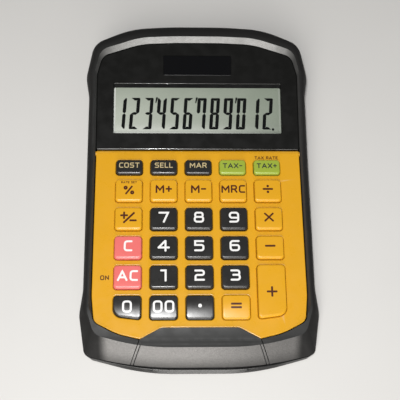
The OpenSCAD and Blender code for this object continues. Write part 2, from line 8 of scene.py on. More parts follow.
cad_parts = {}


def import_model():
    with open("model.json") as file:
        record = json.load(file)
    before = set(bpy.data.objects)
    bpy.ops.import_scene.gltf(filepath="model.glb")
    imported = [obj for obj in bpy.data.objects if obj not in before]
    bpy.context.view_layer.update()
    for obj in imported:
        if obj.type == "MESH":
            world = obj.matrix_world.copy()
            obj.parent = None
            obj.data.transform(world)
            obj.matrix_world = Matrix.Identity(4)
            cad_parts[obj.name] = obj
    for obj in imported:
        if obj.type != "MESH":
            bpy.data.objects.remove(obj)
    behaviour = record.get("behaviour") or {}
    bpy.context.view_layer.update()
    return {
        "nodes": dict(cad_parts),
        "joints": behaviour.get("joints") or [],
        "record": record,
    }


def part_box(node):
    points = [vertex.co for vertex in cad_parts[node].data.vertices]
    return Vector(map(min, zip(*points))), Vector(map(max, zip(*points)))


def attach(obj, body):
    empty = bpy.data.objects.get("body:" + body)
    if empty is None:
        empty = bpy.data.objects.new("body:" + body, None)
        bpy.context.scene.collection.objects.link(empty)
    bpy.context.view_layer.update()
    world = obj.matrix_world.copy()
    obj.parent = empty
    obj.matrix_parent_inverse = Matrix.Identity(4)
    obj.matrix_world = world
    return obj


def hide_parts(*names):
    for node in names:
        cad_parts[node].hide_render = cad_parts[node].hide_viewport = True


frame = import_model()

MM = 0.001
ARC = 8  # segments in a rounded corner

# ---- the frame's own surfaces ----

joints = {j["name"]: j for j in frame["joints"]}
press_axis = joints["key_7_press"]["axis"]
keypad_tilt = math.atan2(press_axis[1], -press_axis[2])
display_tilt = math.radians(11.72)
hinge = Vector(joints["keyboard_lift"]["pos_m"]) / MM
hinge_n = -1.6
hinge_y = (hinge.y + hinge_n * math.sin(keypad_tilt)) / math.cos(keypad_tilt)
keypad_z0 = hinge.z - hinge_y * math.sin(keypad_tilt) - hinge_n * math.cos(keypad_tilt)
fold_y = 19.33
bend = 6.0
display_z0 = keypad_z0 + (math.tan(keypad_tilt) - math.tan(display_tilt)) * fold_y
rim_h = 1.35
base_z = 1.2
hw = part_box("upper_case")[1].x / MM
hl = -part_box("lower_case")[0].y / MM


def frame_point(tilt, z0, x, y, n):
    return Vector((x, y * math.cos(tilt) - n * math.sin(tilt), z0 + y * math.sin(tilt) + n * math.cos(tilt)))


def on_keypad(x, y, n):
    """A point given in the keypad's own plane; n is the height above it."""
    return frame_point(keypad_tilt, keypad_z0, x, y, n)


def on_display(x, y, n):
    """A point given in the display's own plane; n is the height above it."""
    return frame_point(display_tilt, display_z0, x, y, n)


def upright(x, y, z):
    return Vector((x, y, z))


def keypad_box(node):
    """Lowest and highest corner of a CAD node in the keypad's own plane."""
    c, s = math.cos(keypad_tilt), math.sin(keypad_tilt)
    found = []
    for v in frame["nodes"][node].data.vertices:
        x, y, z = v.co / MM
        z -= keypad_z0
        found.append((x, y * c + z * s, z * c - y * s))
    return [min(a) for a in zip(*found)], [max(a) for a in zip(*found)]


def ramp(a, b, t):
    t = max(0.0, min(1.0, (t - a) / (b - a)))
    return t * t * (3 - 2 * t)


def surface_z(y):
    """Height of the keypad and display surfaces, with the soft bend between them."""
    low, high = math.tan(keypad_tilt), math.tan(display_tilt)
    if y < fold_y - bend:
        return keypad_z0 + low * y
    if y > fold_y + bend:
        return display_z0 + high * y
    return keypad_z0 + low * y + (high - low) * (y - fold_y + bend) ** 2 / (4 * bend)


def land_h(y):
    """Height of the rim above the surface; the rim sinks towards the front."""
    return 0.2 + (rim_h - 0.2) * ramp(-72, -56, y)


def crest_z(y):
    return surface_z(y) + land_h(y)


def part_z(y):
    return 15.4 + 0.121 * y


# ---- outlines ----
# A vertex is (x, y, corner radius). Half outlines run along the right side, front to back.


def turned(v, angle):
    c, s = math.cos(angle), math.sin(angle)
    return Vector((v.x * c - v.y * s, v.x * s + v.y * c))


def corner(a, p, b):
    """Points of the rounded corner at p between its neighbours a and b."""
    here = Vector(p[:2])
    if p[2] == 0:
        return [here]
    u = (Vector(a[:2]) - here).normalized()
    v = (Vector(b[:2]) - here).normalized()
    if (u + v).length < 0.01:
        return [here + v * (k / ARC - 0.5) for k in range(ARC + 1)]
    half = math.acos(max(-1.0, min(1.0, u.dot(v)))) / 2
    centre = here + (u + v).normalized() * p[2] / math.sin(half)
    start = here + u * p[2] / math.tan(half) - centre
    sweep = -math.copysign(math.pi - 2 * half, u.cross(v))
    return [centre + turned(start, sweep * k / ARC) for k in range(ARC + 1)]


def rounded(vs):
    """Closed outline with rounded corners."""
    n = len(vs)
    return [q for i in range(n) for q in corner(vs[i - 1], vs[i], vs[(i + 1) % n])]


def before(vs, i):
    return (-vs[0][0], vs[0][1]) if i == 0 else vs[i - 1]


def after(vs, i):
    return (-vs[i][0], vs[i][1]) if i == len(vs) - 1 else vs[i + 1]


def half_ring(vs):
    return [q for i in range(len(vs)) for q in corner(before(vs, i), vs[i], after(vs, i))]


def full_ring(vs):
    right = half_ring(vs)
    return right + [Vector((-p.x, p.y)) for p in reversed(right)]


def inset(vs, d):
    """Half outline moved inwards by d."""
    moved = []
    for i, p in enumerate(vs):
        e = (Vector(p[:2]) - Vector(before(vs, i)[:2])).normalized()
        f = (Vector(after(vs, i)[:2]) - Vector(p[:2])).normalized()
        n, m = Vector((-e.y, e.x)), Vector((-f.y, f.x))
        q = Vector(p[:2]) + (n + m) * d / (1 + n.dot(m))
        turn = e.cross(f)
        r = p[2] - d * (turn > 0) + d * (turn < 0)
        moved.append((q.x, q.y, max(r, 0.3) if p[2] else 0))
    return moved


def box_v(x, y, w, d, r):
    """Rectangle with corner radius r."""
    return [(x + i * w / 2, y + j * d / 2, r) for i, j in ((-1, -1), (1, -1), (1, 1), (-1, 1))]


def bend_v(x):
    return [(x, fold_y + s * bend, 0) for s in (-1, -0.7, -0.4, 0, 0.4, 0.7, 1)]


parting_v = [
    (hw - 28, -hl + 2.2, 150), (hw - 2.6, -hl + 7.6, 3.5), (hw + 0.13, -hl + 25.4, 12),
    (hw - 1.4, -hl + 36, 20), *bend_v(hw - 1.45), (hw - 1.5, hl - 37, 20),
    (hw + 0.13, hl - 26.8, 12), (hw - 3.3, hl - 9.8, 9), (hw - 21, hl - 1.6, 45), (hw - 39, hl, 200),
]
crest_v = [
    (hw - 28, -hl + 9.3, 100), (hw - 7.2, -hl + 15, 6), (hw - 3.9, -hl + 25.4, 12),
    (hw - 4, -hl + 36, 20), *bend_v(hw - 4), (hw - 4, hl - 37, 20),
    (hw - 4.1, hl - 26.8, 12), (hw - 6.9, hl - 14.6, 8), (hw - 24, hl - 8.9, 50), (hw - 42, hl - 8.45, 200),
]
bottom_v = [
    (hw - 30, -hl, 100), (hw - 4, -hl + 7, 4), (hw - 2.6, -hl + 25.4, 12),
    (hw - 3.6, -hl + 36, 20), *bend_v(hw - 3.8), (hw - 4, hl - 37, 20),
    (hw - 4, hl - 28, 12), (hw - 7.3, hl - 15, 9), (hw - 23, hl - 8.5, 45), (hw - 41, hl - 6.8, 200),
]
bevel_low_v = [
    (hw - 30, -hl + 19.5, 10), (hw - 8.6, -hl + 20.3, 4), (hw - 5.35, -hl + 27, 8),
    (hw - 5.35, -hl + 38, 20), *bend_v(hw - 5.35), (hw - 5.35, hl - 39, 20),
    (hw - 5.35, hl - 27.5, 10), (hw - 8, hl - 18, 6), (hw - 27, hl - 11.9, 40), (hw - 44, hl - 11.2, 60),
]
bevel_high_v = [
    (hw - 30, -hl + 19, 10), (hw - 8, -hl + 19.6, 4), (hw - 4.6, -hl + 27, 8),
    (hw - 4.55, -hl + 38, 20), *bend_v(hw - 4.55), (hw - 4.55, hl - 39, 20),
    (hw - 4.6, hl - 26, 10), (hw - 7.1, hl - 15.7, 7), (hw - 26.3, hl - 9.35, 40), (hw - 44, hl - 8.65, 60),
]
fascia_gap = 0.12
fascia_front = 19.9
fascia_v = [(hw - 5.35 - fascia_gap, fascia_front, 1)] + [
    (x - fascia_gap, y / math.cos(display_tilt) - fascia_gap, r) for x, y, r in bevel_low_v[-4:]
]
panel_v = [
    (17.3, -66.4, 5), (26.6, -71.4, 1), (37, -69, 30), (47.3, -63.6, 4), (48.5, -52, 30),
    (48.4, hinge_y, 0.3),
]
tab_v = [(32.8, -86, 0.3), (27.6, -74.2, 0.3), (26.75, -71.5, 0.3), (17.35, -66.5, 5)]
tub_v = [
    (20, -78, 2), (28.5, -77, 2), (38, -71.5, 20), (48.8, -64.6, 4), (49.7, -52, 30), (49.7, 22.2, 0.5),
]
panel_gap = 0.35
well_v = inset(panel_v, -panel_gap)
well_v[-1] = (well_v[-1][0], 20.6, 0.3)

# Hinge: the panel's round rear nose, its stub pins, and their pockets in the case
nose_r, nose_span = 1.55, 96
pin_r, pin_span = 1.2, 99.2
pocket_r, pocket_x, pocket_deep = 1.28, 49, 1.4

# Heights in the keypad's plane, under the panel's surface
bay_floor = -6.8
sill_top = -5.9
back_top = -5.0


# ---- meshes ----

# Material slots of a shape in the making
WALL, LAND, BEVEL = 0, 1, 2
SHELL = ("grained_black", "land_black", "bevel_lit_black")


def placed(name, data):
    """A new object in the scene."""
    obj = bpy.data.objects.new(name, data)
    bpy.context.scene.collection.objects.link(obj)
    return obj


def band_faces(rows, n):
    """Faces between rows of n points each, every row a closed ring."""
    return [
        (k * n + i, k * n + (i + 1) % n, (k + 1) * n + (i + 1) % n, (k + 1) * n + i)
        for k in range(rows - 1)
        for i in range(n)
    ]


def add_mesh(name, points, faces, slots=None):
    """Closed mesh; every face is LAND unless slots says otherwise."""
    mesh = bpy.data.meshes.new(name)
    mesh.from_pydata([tuple(p) for p in points], [], faces)
    for slot in SHELL:
        mesh.materials.append(paints[slot])
    mesh.polygons.foreach_set("material_index", slots or [LAND] * len(faces))
    obj = placed(name, mesh)
    tidy(obj)
    return obj


def tidy(obj, merge=0.0005):
    """Merges coincident points and turns every face outwards."""
    bm = bmesh.new()
    bm.from_mesh(obj.data)
    bmesh.ops.remove_doubles(bm, verts=bm.verts, dist=merge)
    bmesh.ops.recalc_face_normals(bm, faces=bm.faces)
    bm.to_mesh(obj.data)
    bm.free()


def divide(obj, planes):
    """Splits a piece's faces along planes, given as (point, normal), without changing its shape."""
    bm = bmesh.new()
    bm.from_mesh(obj.data)
    for point, normal in planes:
        everything = bm.verts[:] + bm.edges[:] + bm.faces[:]
        bmesh.ops.bisect_plane(bm, geom=everything, plane_co=point, plane_no=normal)
    bm.to_mesh(obj.data)
    bm.free()


def loft(name, rings, ladder=True, wall_slot=LAND):
    """Closed solid through a stack of rings; a ladder cap runs side to side, the other is one face.

    wall_slot is one slot for all the walls, or a list with one for every step between rings.
    """
    n = len(rings[0])
    points = [p for ring in rings for p in ring]
    faces = band_faces(len(rings), n)
    steps = wall_slot if isinstance(wall_slot, list) else [wall_slot] * (len(rings) - 1)
    slots = [slot for slot in steps for _ in range(n)]
    for start in (0, (len(rings) - 1) * n):
        if ladder:
            end = start + n - 1
            faces += [(start + i, start + i + 1, end - 1 - i, end - i) for i in range(n // 2 - 1)]
        else:
            faces.append(tuple(start + i for i in range(n)))
    return add_mesh(name, points, faces, slots + [LAND] * (len(faces) - len(slots)))


def prism(name, outline, levels, place=upright, ladder=False, wall_slot=LAND):
    """Solid on the outlines that outline(argument) gives; levels are (argument, height) pairs."""
    return loft(name, [[place(p.x, p.y, h) for p in outline(g)] for g, h in levels], ladder, wall_slot)


def slab(name, points, low, high, place=upright):
    return prism(name, lambda _: points, [(0, low), (0, high)], place)


def round_edge(radius, top, steps=4):
    """(inset, height) pairs of a quarter round that ends on a flat top."""
    turns = [math.pi / 2 * k / steps for k in range(steps + 1)]
    return [(radius * (1 - math.cos(a)), top - radius * (1 - math.sin(a))) for a in turns]


def rod(name, centre, axis, radius, length, sides=40):
    """Cylinder about a point, along an axis."""
    axis = Vector(axis).normalized()
    side = axis.orthogonal().normalized()
    other = axis.cross(side)
    rings = []
    for s in (-0.5, 0.5):
        middle = Vector(centre) + axis * length * s
        turns = [2 * math.pi * k / sides for k in range(sides)]
        rings.append([middle + (side * math.cos(a) + other * math.sin(a)) * radius for a in turns])
    return loft(name, rings, ladder=False)


def post(name, x, y, radius, low, high, place=upright, sides=40):
    """Upright cylinder between two heights."""
    a, b = place(x, y, low), place(x, y, high)
    return rod(name, (a + b) / 2, b - a, radius, (b - a).length, sides)


def joined(name, objs):
    """Several meshes as one object, each an island of its own."""
    slots = list(objs[0].data.materials)
    bm = bmesh.new()
    for obj in objs:
        bm.from_mesh(obj.data)
        bpy.data.objects.remove(obj)
    mesh = bpy.data.meshes.new(name)
    bm.to_mesh(mesh)
    bm.free()
    for m in slots:
        mesh.materials.append(m)
    return placed(name, mesh)


def baked(obj):
    """Applies the modifiers of a piece."""
    bpy.context.view_layer.update()
    graph = bpy.context.evaluated_depsgraph_get()
    mesh = bpy.data.meshes.new_from_object(obj.evaluated_get(graph))
    obj.modifiers.clear()
    obj.data = mesh


def combine(target, other, operation):
    mod = target.modifiers.new("combine", "BOOLEAN")
    mod.operation = operation
    mod.solver = "EXACT"
    mod.material_mode = "INDEX"
    mod.object = other
    baked(target)
    bpy.data.objects.remove(other)
    return target


def cut(target, *cutters):
    for cutter in cutters:
        combine(target, cutter, "DIFFERENCE")
    return target


def add(target, *others):
    for other in others:
        combine(target, other, "UNION")
    return target


def finish_piece(obj, name, body, slot, materials, replaces=(), smooth=32.0):
    """Scales a piece to metres, shades it, and puts it on its body."""
    tidy(obj)
    obj.data.transform(Matrix.Scale(MM, 4))
    obj.name = name
    obj.data.name = name
    slots = [min(f.material_index, len(materials) - 1) for f in obj.data.polygons]
    obj.data.materials.clear()
    for m in materials:
        obj.data.materials.append(m)
    obj.data.polygons.foreach_set("material_index", slots)
    obj.data.shade_smooth()
    obj.data.set_sharp_from_angle(angle=math.radians(smooth))
    weighted = obj.modifiers.new("weighted", "WEIGHTED_NORMAL")
    weighted.keep_sharp = True
    weighted.weight = 100
    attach(obj, body)
    if replaces:
        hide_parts(*replaces)
    return obj


# ---- materials ----


paints = {}


class Paint:
    """Node tree of one material, with a Principled shader; paints lists the materials by name."""

    def __init__(self, name, roughness, specular=0.5, metallic=0.0):
        self.material = bpy.data.materials.new(name)
        paints[name] = self.material
        self.material.use_nodes = True
        self.nodes = self.material.node_tree.nodes
        self.links = self.material.node_tree.links
        self.shader = self.nodes["Principled BSDF"]
        self.shader.inputs["Roughness"].default_value = roughness
        self.shader.inputs["Specular IOR Level"].default_value = specular
        self.shader.inputs["Metallic"].default_value = metallic
        self.place = self.nodes.new("ShaderNodeTexCoord").outputs["Object"]

    def math(self, operation, a, b=0.0, c=0.0):
        node = self.nodes.new("ShaderNodeMath")
        node.operation = operation
        for socket, value in zip(node.inputs, (a, b, c)):
            self.feed(socket, value)
        return node.outputs[0]

    def times(self, a, b):
        return self.math("MULTIPLY", a, b)

    def feed(self, socket, value):
        if isinstance(value, bpy.types.NodeSocket):
            self.links.new(value, socket)
        else:
            socket.default_value = value

    def noise(self, size_mm, detail=2.0, roughness=0.5):
        node = self.nodes.new("ShaderNodeTexNoise")
        self.links.new(self.place, node.inputs["Vector"])
        node.inputs["Scale"].default_value = 1 / (size_mm * MM)
        node.inputs["Detail"].default_value = detail
        node.inputs["Roughness"].default_value = roughness
        return node.outputs["Fac"]

    def cells(self, size_mm):
        node = self.nodes.new("ShaderNodeTexVoronoi")
        node.feature = "SMOOTH_F1"
        self.links.new(self.place, node.inputs["Vector"])
        node.inputs["Scale"].default_value = 1 / (size_mm * MM)
        return node.outputs["Distance"]

    def axis(self, index):
        node = self.nodes.new("ShaderNodeSeparateXYZ")
        self.links.new(self.place, node.inputs[0])
        return node.outputs[index]

    def span(self, value, low, high, out_low=0.0, out_high=1.0, smooth=True):
        node = self.nodes.new("ShaderNodeMapRange")
        node.interpolation_type = "SMOOTHSTEP" if smooth else "LINEAR"
        for socket, v in zip(node.inputs, (value, low, high, out_low, out_high)):
            self.feed(socket, v)
        return node.outputs[0]

    def mix(self, factor, a, b):
        node = self.nodes.new("ShaderNodeMix")
        node.data_type = "RGBA"
        self.feed(node.inputs["Factor"], factor)
        for socket, value in ((node.inputs[6], a), (node.inputs[7], b)):
            self.feed(socket, value if isinstance(value, bpy.types.NodeSocket) else (*value, 1.0))
        return node.outputs[2]

    def bump(self, height, depth_mm, strength=1.0, over=None):
        node = self.nodes.new("ShaderNodeBump")
        node.inputs["Distance"].default_value = depth_mm * MM
        self.feed(node.inputs["Strength"], strength)
        self.links.new(height, node.inputs["Height"])
        if over is not None:
            self.links.new(over, node.inputs["Normal"])
        return node.outputs["Normal"]

    def colour(self, value):
        self.feed(self.shader.inputs["Base Color"], value)

    def rough(self, value):
        self.feed(self.shader.inputs["Roughness"], value)

    def normal(self, value):
        self.links.new(value, self.shader.inputs["Normal"])


def scaled(rgb, k):
    return tuple(min(1.0, c * k) for c in rgb)


def moulded(name, rgb, roughness, grain_mm=0.25, grain_depth=0.004, spread=0.06, wear=0.12, specular=0.5):
    """Moulded plastic: a fine skin, slow colour drift, polished patches and paler edges."""
    p = Paint(name, roughness, specular)
    drift = p.noise(14.0, 3.0)
    base = p.mix(drift, scaled(rgb, 1 - spread), scaled(rgb, 1 + spread))
    edge = p.nodes.new("ShaderNodeNewGeometry").outputs["Pointiness"]
    rubbed = p.times(p.span(edge, 0.52, 0.62), p.span(p.noise(3.0, 4.0), 0.4, 0.7, 0.3, 1.0))
    worn = tuple(c + (1 - c) * wear for c in rgb)
    p.colour(p.mix(rubbed, base, worn))
    p.rough(p.span(p.noise(5.0, 5.0), 0.3, 0.7, roughness * 0.86, roughness * 1.16))
    skin = p.bump(p.noise(grain_mm, 3.0), grain_depth)
    p.normal(p.bump(p.noise(9.0, 1.0), 0.02, over=skin))
    return p.material


def grained(name, rgb, roughness, specular, pale, where):
    """Shell plastic with a grain in one region, given by where(paint), and a duller skin around it; the
    grain's pale speckle is painted sheen, standing in for the light that the grained surface catches.
    """
    p = Paint(name, roughness, specular=specular)
    region = where(p)
    pebbles = p.noise(0.3, 1.5, 0.6)
    pits = p.cells(0.45)
    height = p.math("ADD", pebbles, p.times(pits, 0.3))
    fine = p.bump(p.noise(0.16, 2.0), 0.006)
    p.normal(p.bump(height, 0.08, region, over=fine))
    # Painted sheen: the pale speckle on the grain within the region stands in for light caught by the grain.
    painted_sheen = p.times(p.span(pebbles, 0.25, 0.75, 0.5, 1.0), region)
    base = p.mix(p.noise(12.0, 3.0), scaled(rgb, 0.9), scaled(rgb, 1.12))
    p.colour(p.mix(painted_sheen, base, scaled(rgb, pale)))
    around = p.math("MULTIPLY_ADD", p.math("SUBTRACT", 1.0, region), 0.3, roughness)
    p.rough(p.times(around, p.span(p.noise(4.0, 4.0), 0.3, 0.7, 0.9, 1.12)))
    return p.material


# Where the front band's grain and painted sheen lie: they fade out at both corners, fall to half towards the
# right as painted shade, and grow with height up the band as painted light.
def front_middle(p):
    left = p.span(p.axis(0), -0.0455, -0.040)
    right = p.times(p.span(p.axis(0), 0.046, 0.041), p.span(p.axis(0), 0.040, -0.010, 0.5, 1.0))
    lit = p.times(p.times(left, right), p.span(p.axis(2), 0.004, 0.011, 0.3, 1.1))
    return p.times(p.span(p.axis(1), -0.060, -0.064), lit)


# Where the rear bevel's painted sheen lies: across the middle of the bevel behind the display.
def rear_middle(p):
    across = p.math("ABSOLUTE", p.axis(0))
    return p.times(p.span(p.axis(1), 0.062, 0.068), p.span(across, 0.051, 0.033))


def ink(name, rgb, roughness=0.42, specular=0.5):
    """Printed ink: nearly even, with a trace of thin spots."""
    p = Paint(name, roughness, specular=specular)
    p.colour(p.mix(p.span(p.noise(0.5, 2.0), 0.35, 0.6), scaled(rgb, 0.93), rgb))
    p.normal(p.bump(p.noise(0.2, 2.0), 0.003))
    return p.material


def metal(name, rgb, roughness, scratch_mm=0.4):
    p = Paint(name, roughness, metallic=1.0)
    p.colour(p.mix(p.noise(2.0, 4.0), scaled(rgb, 0.8), rgb))
    p.rough(p.span(p.noise(1.0, 4.0), 0.3, 0.7, roughness * 0.75, roughness * 1.3))
    p.normal(p.bump(p.noise(scratch_mm, 3.0), 0.006))
    return p.material


def liquid_crystal():
    """Grey-green display with painted light that makes it paler towards its lower left, and painted light
    along its edges.
    """
    p = Paint("lcd_glass", 0.35, specular=0.3)
    across = p.span(p.axis(0), -0.042, 0.042, smooth=False)
    up = p.span(p.axis(1), 0.026, 0.053, smooth=False)
    to_right, to_back = p.math("MULTIPLY_ADD", across, -0.9, 1.0), p.math("MULTIPLY_ADD", up, -0.7, 1.0)
    painted_light = p.times(to_right, to_back)
    pale, deep = (0.60, 0.64, 0.56), (0.235, 0.272, 0.218)
    # Random streaks, plus painted shade away from the lower left.
    streaks_and_shade = p.math("MULTIPLY_ADD", p.noise(9.0, 2.0), 0.12, p.math("SUBTRACT", 0.94, painted_light))
    # rim: painted light along both sides and the front edge, with a painted lift across the front against
    # the fascia's shadow, strongest at the left.
    sides = p.span(p.math("ABSOLUTE", p.axis(0)), 0.0396, 0.0401)
    front = p.math("MAXIMUM", p.span(p.axis(1), 0.0300, 0.0294), p.span(p.axis(1), 0.036, 0.029, 0.0, 0.5))
    rim = p.times(p.math("MAXIMUM", sides, front), p.span(p.axis(0), -0.02, 0.045, 0.8, 0.12))
    p.colour(p.mix(rim, p.mix(streaks_and_shade, pale, deep), (0.92, 0.95, 0.9)))
    p.normal(p.bump(p.noise(0.3, 2.0), 0.002))
    return p.material


def clear_sheet():
    p = Paint("clear_lens", 0.06)
    p.colour((0.02, 0.02, 0.02, 1.0))
    p.shader.inputs["Alpha"].default_value = 0.04
    p.rough(p.span(p.noise(6.0, 3.0), 0.3, 0.7, 0.04, 0.09))
    return p.material


def solar_film():
    """Dark amorphous cell with faint strips across it."""
    p = Paint("solar_film", 0.25)
    strip = p.math("PINGPONG", p.axis(0), 0.0035)
    line = p.span(strip, 0.0, 0.0002, 1.0, 0.0)
    p.colour(p.mix(line, (0.012, 0.008, 0.016), (0.05, 0.045, 0.05)))
    p.normal(p.bump(p.noise(0.8, 2.0), 0.003))
    return p.material


def board():
    """Solder mask over faint copper runs."""
    p = Paint("board_green", 0.35)
    runs = p.math("PINGPONG", p.math("ADD", p.axis(0), p.times(p.noise(9.0, 0.0), 0.004)), 0.0011)
    copper = p.span(runs, 0.0004, 0.0006)
    p.colour(p.mix(copper, (0.02, 0.11, 0.045), (0.05, 0.22, 0.08)))
    p.normal(p.bump(copper, 0.03))
    return p.material


YELLOW = (0.695, 0.35, 0.015)
BLACK = (0.0125, 0.0122, 0.0118)

moulded("key_black", (0.02, 0.0195, 0.019), 0.26, 0.5, 0.002, wear=0.03, specular=0.52)
moulded("key_green", (0.31, 0.40, 0.045), 0.32, wear=0.1)
moulded("key_coral", (0.76, 0.16, 0.15), 0.32, wear=0.08)
moulded("key_yellow", YELLOW, 0.3, spread=0.03, wear=0.08, specular=0.38)
moulded("yellow_panel", YELLOW, 0.3, spread=0.03, wear=0.1)
# The front band's pale speckle is painted sheen on the same dark plastic as the rest of the shell.
grained("grained_black", (0.011, 0.0106, 0.0102), 0.42, 0.32, 24.0, front_middle)
# The bevels' black is lighter than the shell's and speckled pale at the rear: painted light, standing in for
# the light the sloped bevel catches.
grained("bevel_lit_black", (0.03, 0.0295, 0.028), 0.42, 0.7, 8.5, rear_middle)
moulded("land_black", (0.015, 0.0152, 0.0145), 0.42, 0.4, 0.003, wear=0.03, specular=0.35)
# Near-black matt paint on the ledge of the reveal under the upper case and on the sloped back of the display
# opening: painted shade, darker than the case plastic.
moulded("painted_shade_black", (0.003, 0.003, 0.003), 0.85, 0.4, 0.003, wear=0.0, specular=0.2)
moulded("case_black", BLACK, 0.2, 0.3, 0.003, wear=0.06)
moulded("inner_black", (0.02, 0.02, 0.02), 0.55)
moulded("fascia_black", (0.006, 0.006, 0.0055), 0.33, 0.2, 0.003, spread=0.02, wear=0.0, specular=0.3)
moulded("edge_black", (0.006, 0.006, 0.0055), 0.12, 0.2, 0.002, wear=0.0, specular=0.7)
clear_sheet()
liquid_crystal()
moulded("dark_window", (0.003, 0.003, 0.0035), 0.12, 1.5, 0.001, wear=0.0)
solar_film()
moulded("white_plastic", (0.68, 0.67, 0.62), 0.5)
moulded("elastomer_strip", (0.15, 0.16, 0.2), 0.6)
moulded("rubber_grey", (0.016, 0.016, 0.016), 0.8, 0.3, 0.01, wear=0.05)
moulded("rubber_red", (0.28, 0.05, 0.04), 0.65, wear=0.05)
moulded("lead_red", (0.45, 0.04, 0.03), 0.45)
board()
moulded("chip_black", (0.012, 0.012, 0.012), 0.6, 0.2, 0.006)
moulded("membrane_film", (0.5, 0.53, 0.44), 0.4)
moulded("flex_amber", (0.45, 0.24, 0.05), 0.3)
metal("cell_steel", (0.62, 0.63, 0.64), 0.28, 0.25)
metal("screw_steel", (0.5, 0.51, 0.52), 0.34)
metal("contact_brass", (0.66, 0.52, 0.28), 0.3)
ink_white = ink("ink_white", (0.85, 0.85, 0.84))
ink_cream = ink("ink_cream", (0.56, 0.45, 0.24))
ink_brown = ink("ink_brown", (0.075, 0.018, 0.008), 0.42, 0.3)
ink_dark = ink("ink_dark", (0.03, 0.035, 0.03))
segment_black = ink("segment_black", (0.002, 0.003, 0.003), 0.5, 0.1)

# Every CAD node gets its material and slightly rounded edges; the shapes made below replace some of them
slot_of = {s["node"]: s["material_slot"] for s in frame["record"]["subparts"]}
for node, obj in frame["nodes"].items():
    obj.data.materials.clear()
    obj.data.materials.append(paints[slot_of[node]])
    if node not in ("lcd_window", "switch_membrane", "membrane_tail", "key_mat"):
        rounding = obj.modifiers.new("rounding", "BEVEL")
        rounding.width = 0.15 * MM
        rounding.segments = 2
        rounding.limit_method = "ANGLE"
        rounding.angle_limit = math.radians(50)
        rounding.harden_normals = True


# ---- case ----


def wall_power(y):
    """Shape of the outer wall: round along the sides, flatter across the front, fuller at the rear."""
    return 1.8 - 0.8 * ramp(-74, -52, y) - 0.2 * ramp(55, 70, y)


# The upper wall reaches a little below the parting plane, outside the gasket, and the lower wall stops
# short of it
overlap = 0.25
overlap_in = 0.42
reveal = 1.07


def upper_ring(t):
    """Ring of the upper wall; t runs from 0 at its foot to 1 at the crest."""
    angle = math.pi / 2 * t
    right = []
    for low, top in zip(half_ring(parting_v), half_ring(crest_v)):
        e = wall_power(low.y)
        z0, z1 = part_z(low.y) - overlap, crest_z(top.y)
        w = math.cos(angle) ** e if t < 1 else 0.0
        at = top + (low - top) * w
        right.append(Vector((at.x, at.y, z0 + (z1 - z0) * math.sin(angle) ** e)))
    return right + [Vector((-p.x, p.y, p.z)) for p in reversed(right)]


def upper_solid(name):
    steps = 14
    walls = [upper_ring(k / steps) for k in range(steps + 1)]
    inner = inset(parting_v, overlap_in)
    return loft(name, [part_ring(inner, 0), part_ring(inner, -overlap)] + walls, wall_slot=WALL)


def flat_ring(vs, z):
    return [Vector((p.x, p.y, z)) for p in full_ring(vs)]


def part_ring(vs, dz):
    return [Vector((p.x, p.y, part_z(p.y) + dz)) for p in full_ring(vs)]


def rim_pocket():
    """Room above the two surfaces, with the rim's bevel carried on past the crest."""
    low = [Vector((p.x, p.y, surface_z(p.y))) for p in full_ring(bevel_low_v)]
    high = [Vector((p.x, p.y, crest_z(p.y))) for p in full_ring(bevel_high_v)]
    return loft("pocket", [low, [a + (b - a) * 2.5 for a, b in zip(low, high)]], wall_slot=BEVEL)


def well():
    """Space of the keyboard, with a rounded mouth."""
    mouth = 0.18
    rings = [[on_keypad(p.x, p.y, bay_floor) for p in full_ring(well_v)]]
    for g, drop in round_edge(mouth, 0.0, 3):
        outline = full_ring(inset(well_v, -g))
        rings.append([on_keypad(p.x, p.y, mouth_top(p) + drop) for p in outline])
    rings.append([p + Vector((0, 0, 4)) for p in rings[-1]])
    return loft("well", rings, ladder=False)


def mouth_top(p):
    """Height of the case around the keyboard, above the keypad's plane."""
    return land_h(p.y) if p.y < -hl + 19 else 0.0


tab_bottom = -5.5
apron_t = 2.2  # the tab's front skin hangs in front of the sill, this far in from the parting outline


def tab_prism(name, grow, low, high):
    return slab(name, full_ring(inset(tab_v, -grow)), low, high, on_keypad)


tail_slot = box_v(0, 22.17, 24, 3.05, 0.05)


def make_upper_case():
    shell = upper_solid("upper_case_skin")
    tub = slab("tub", full_ring(tub_v), bay_floor - 1.4, -2.0, on_keypad)
    inside = slab("inside", full_ring(inset(parting_v, 2.2)), 0, 25)
    combine(tub, inside, "INTERSECT")
    roof = -3.6
    room = slab("room", full_ring([(46, 23, 1), (46, 58, 6), (38, 70, 6)]), -30, roof, on_display)
    cut(shell, room)
    add(shell, tub)
    lcd_hole = slab("hole", rounded(box_v(0, lcd_mid, lcd_w + 5.4, lcd_d + 4, 1)), -20, 0, on_display)
    solar_hole = slab("hole", rounded(box_v(0, solar_mid, solar_w + 3.6, 12.4, 1)), -20, 0, on_display)
    fascia_room = slab("room", full_ring(inset(fascia_v, -0.05)), -2.0, 6, on_display)
    tail_room = slab("tail", rounded(tail_slot), bay_floor - 0.8, -5.7, on_keypad)
    pockets = [
        rod("pin", on_keypad(s * pocket_x, hinge_y, hinge_n), (1, 0, 0), pocket_r, pocket_deep)
        for s in (-1, 1)
    ]
    apron_room = tab_prism("apron_room", panel_gap, -9, sill_top + 1)
    cut(apron_room, slab("core", full_ring(inset(parting_v, apron_t + 0.3)), -2, 30))
    cut(shell, rim_pocket(), well(), tab_prism("tab_room", panel_gap, sill_top, 8), apron_room, fascia_room)
    cut(shell, joined("holes", [lcd_hole, solar_hole, tail_room]), joined("pockets", pockets))
    return finish_piece(
        shell, "upper_case_skin", "case", "grained_black",
        [paints[m] for m in SHELL], ["upper_case"], smooth=22,
    )


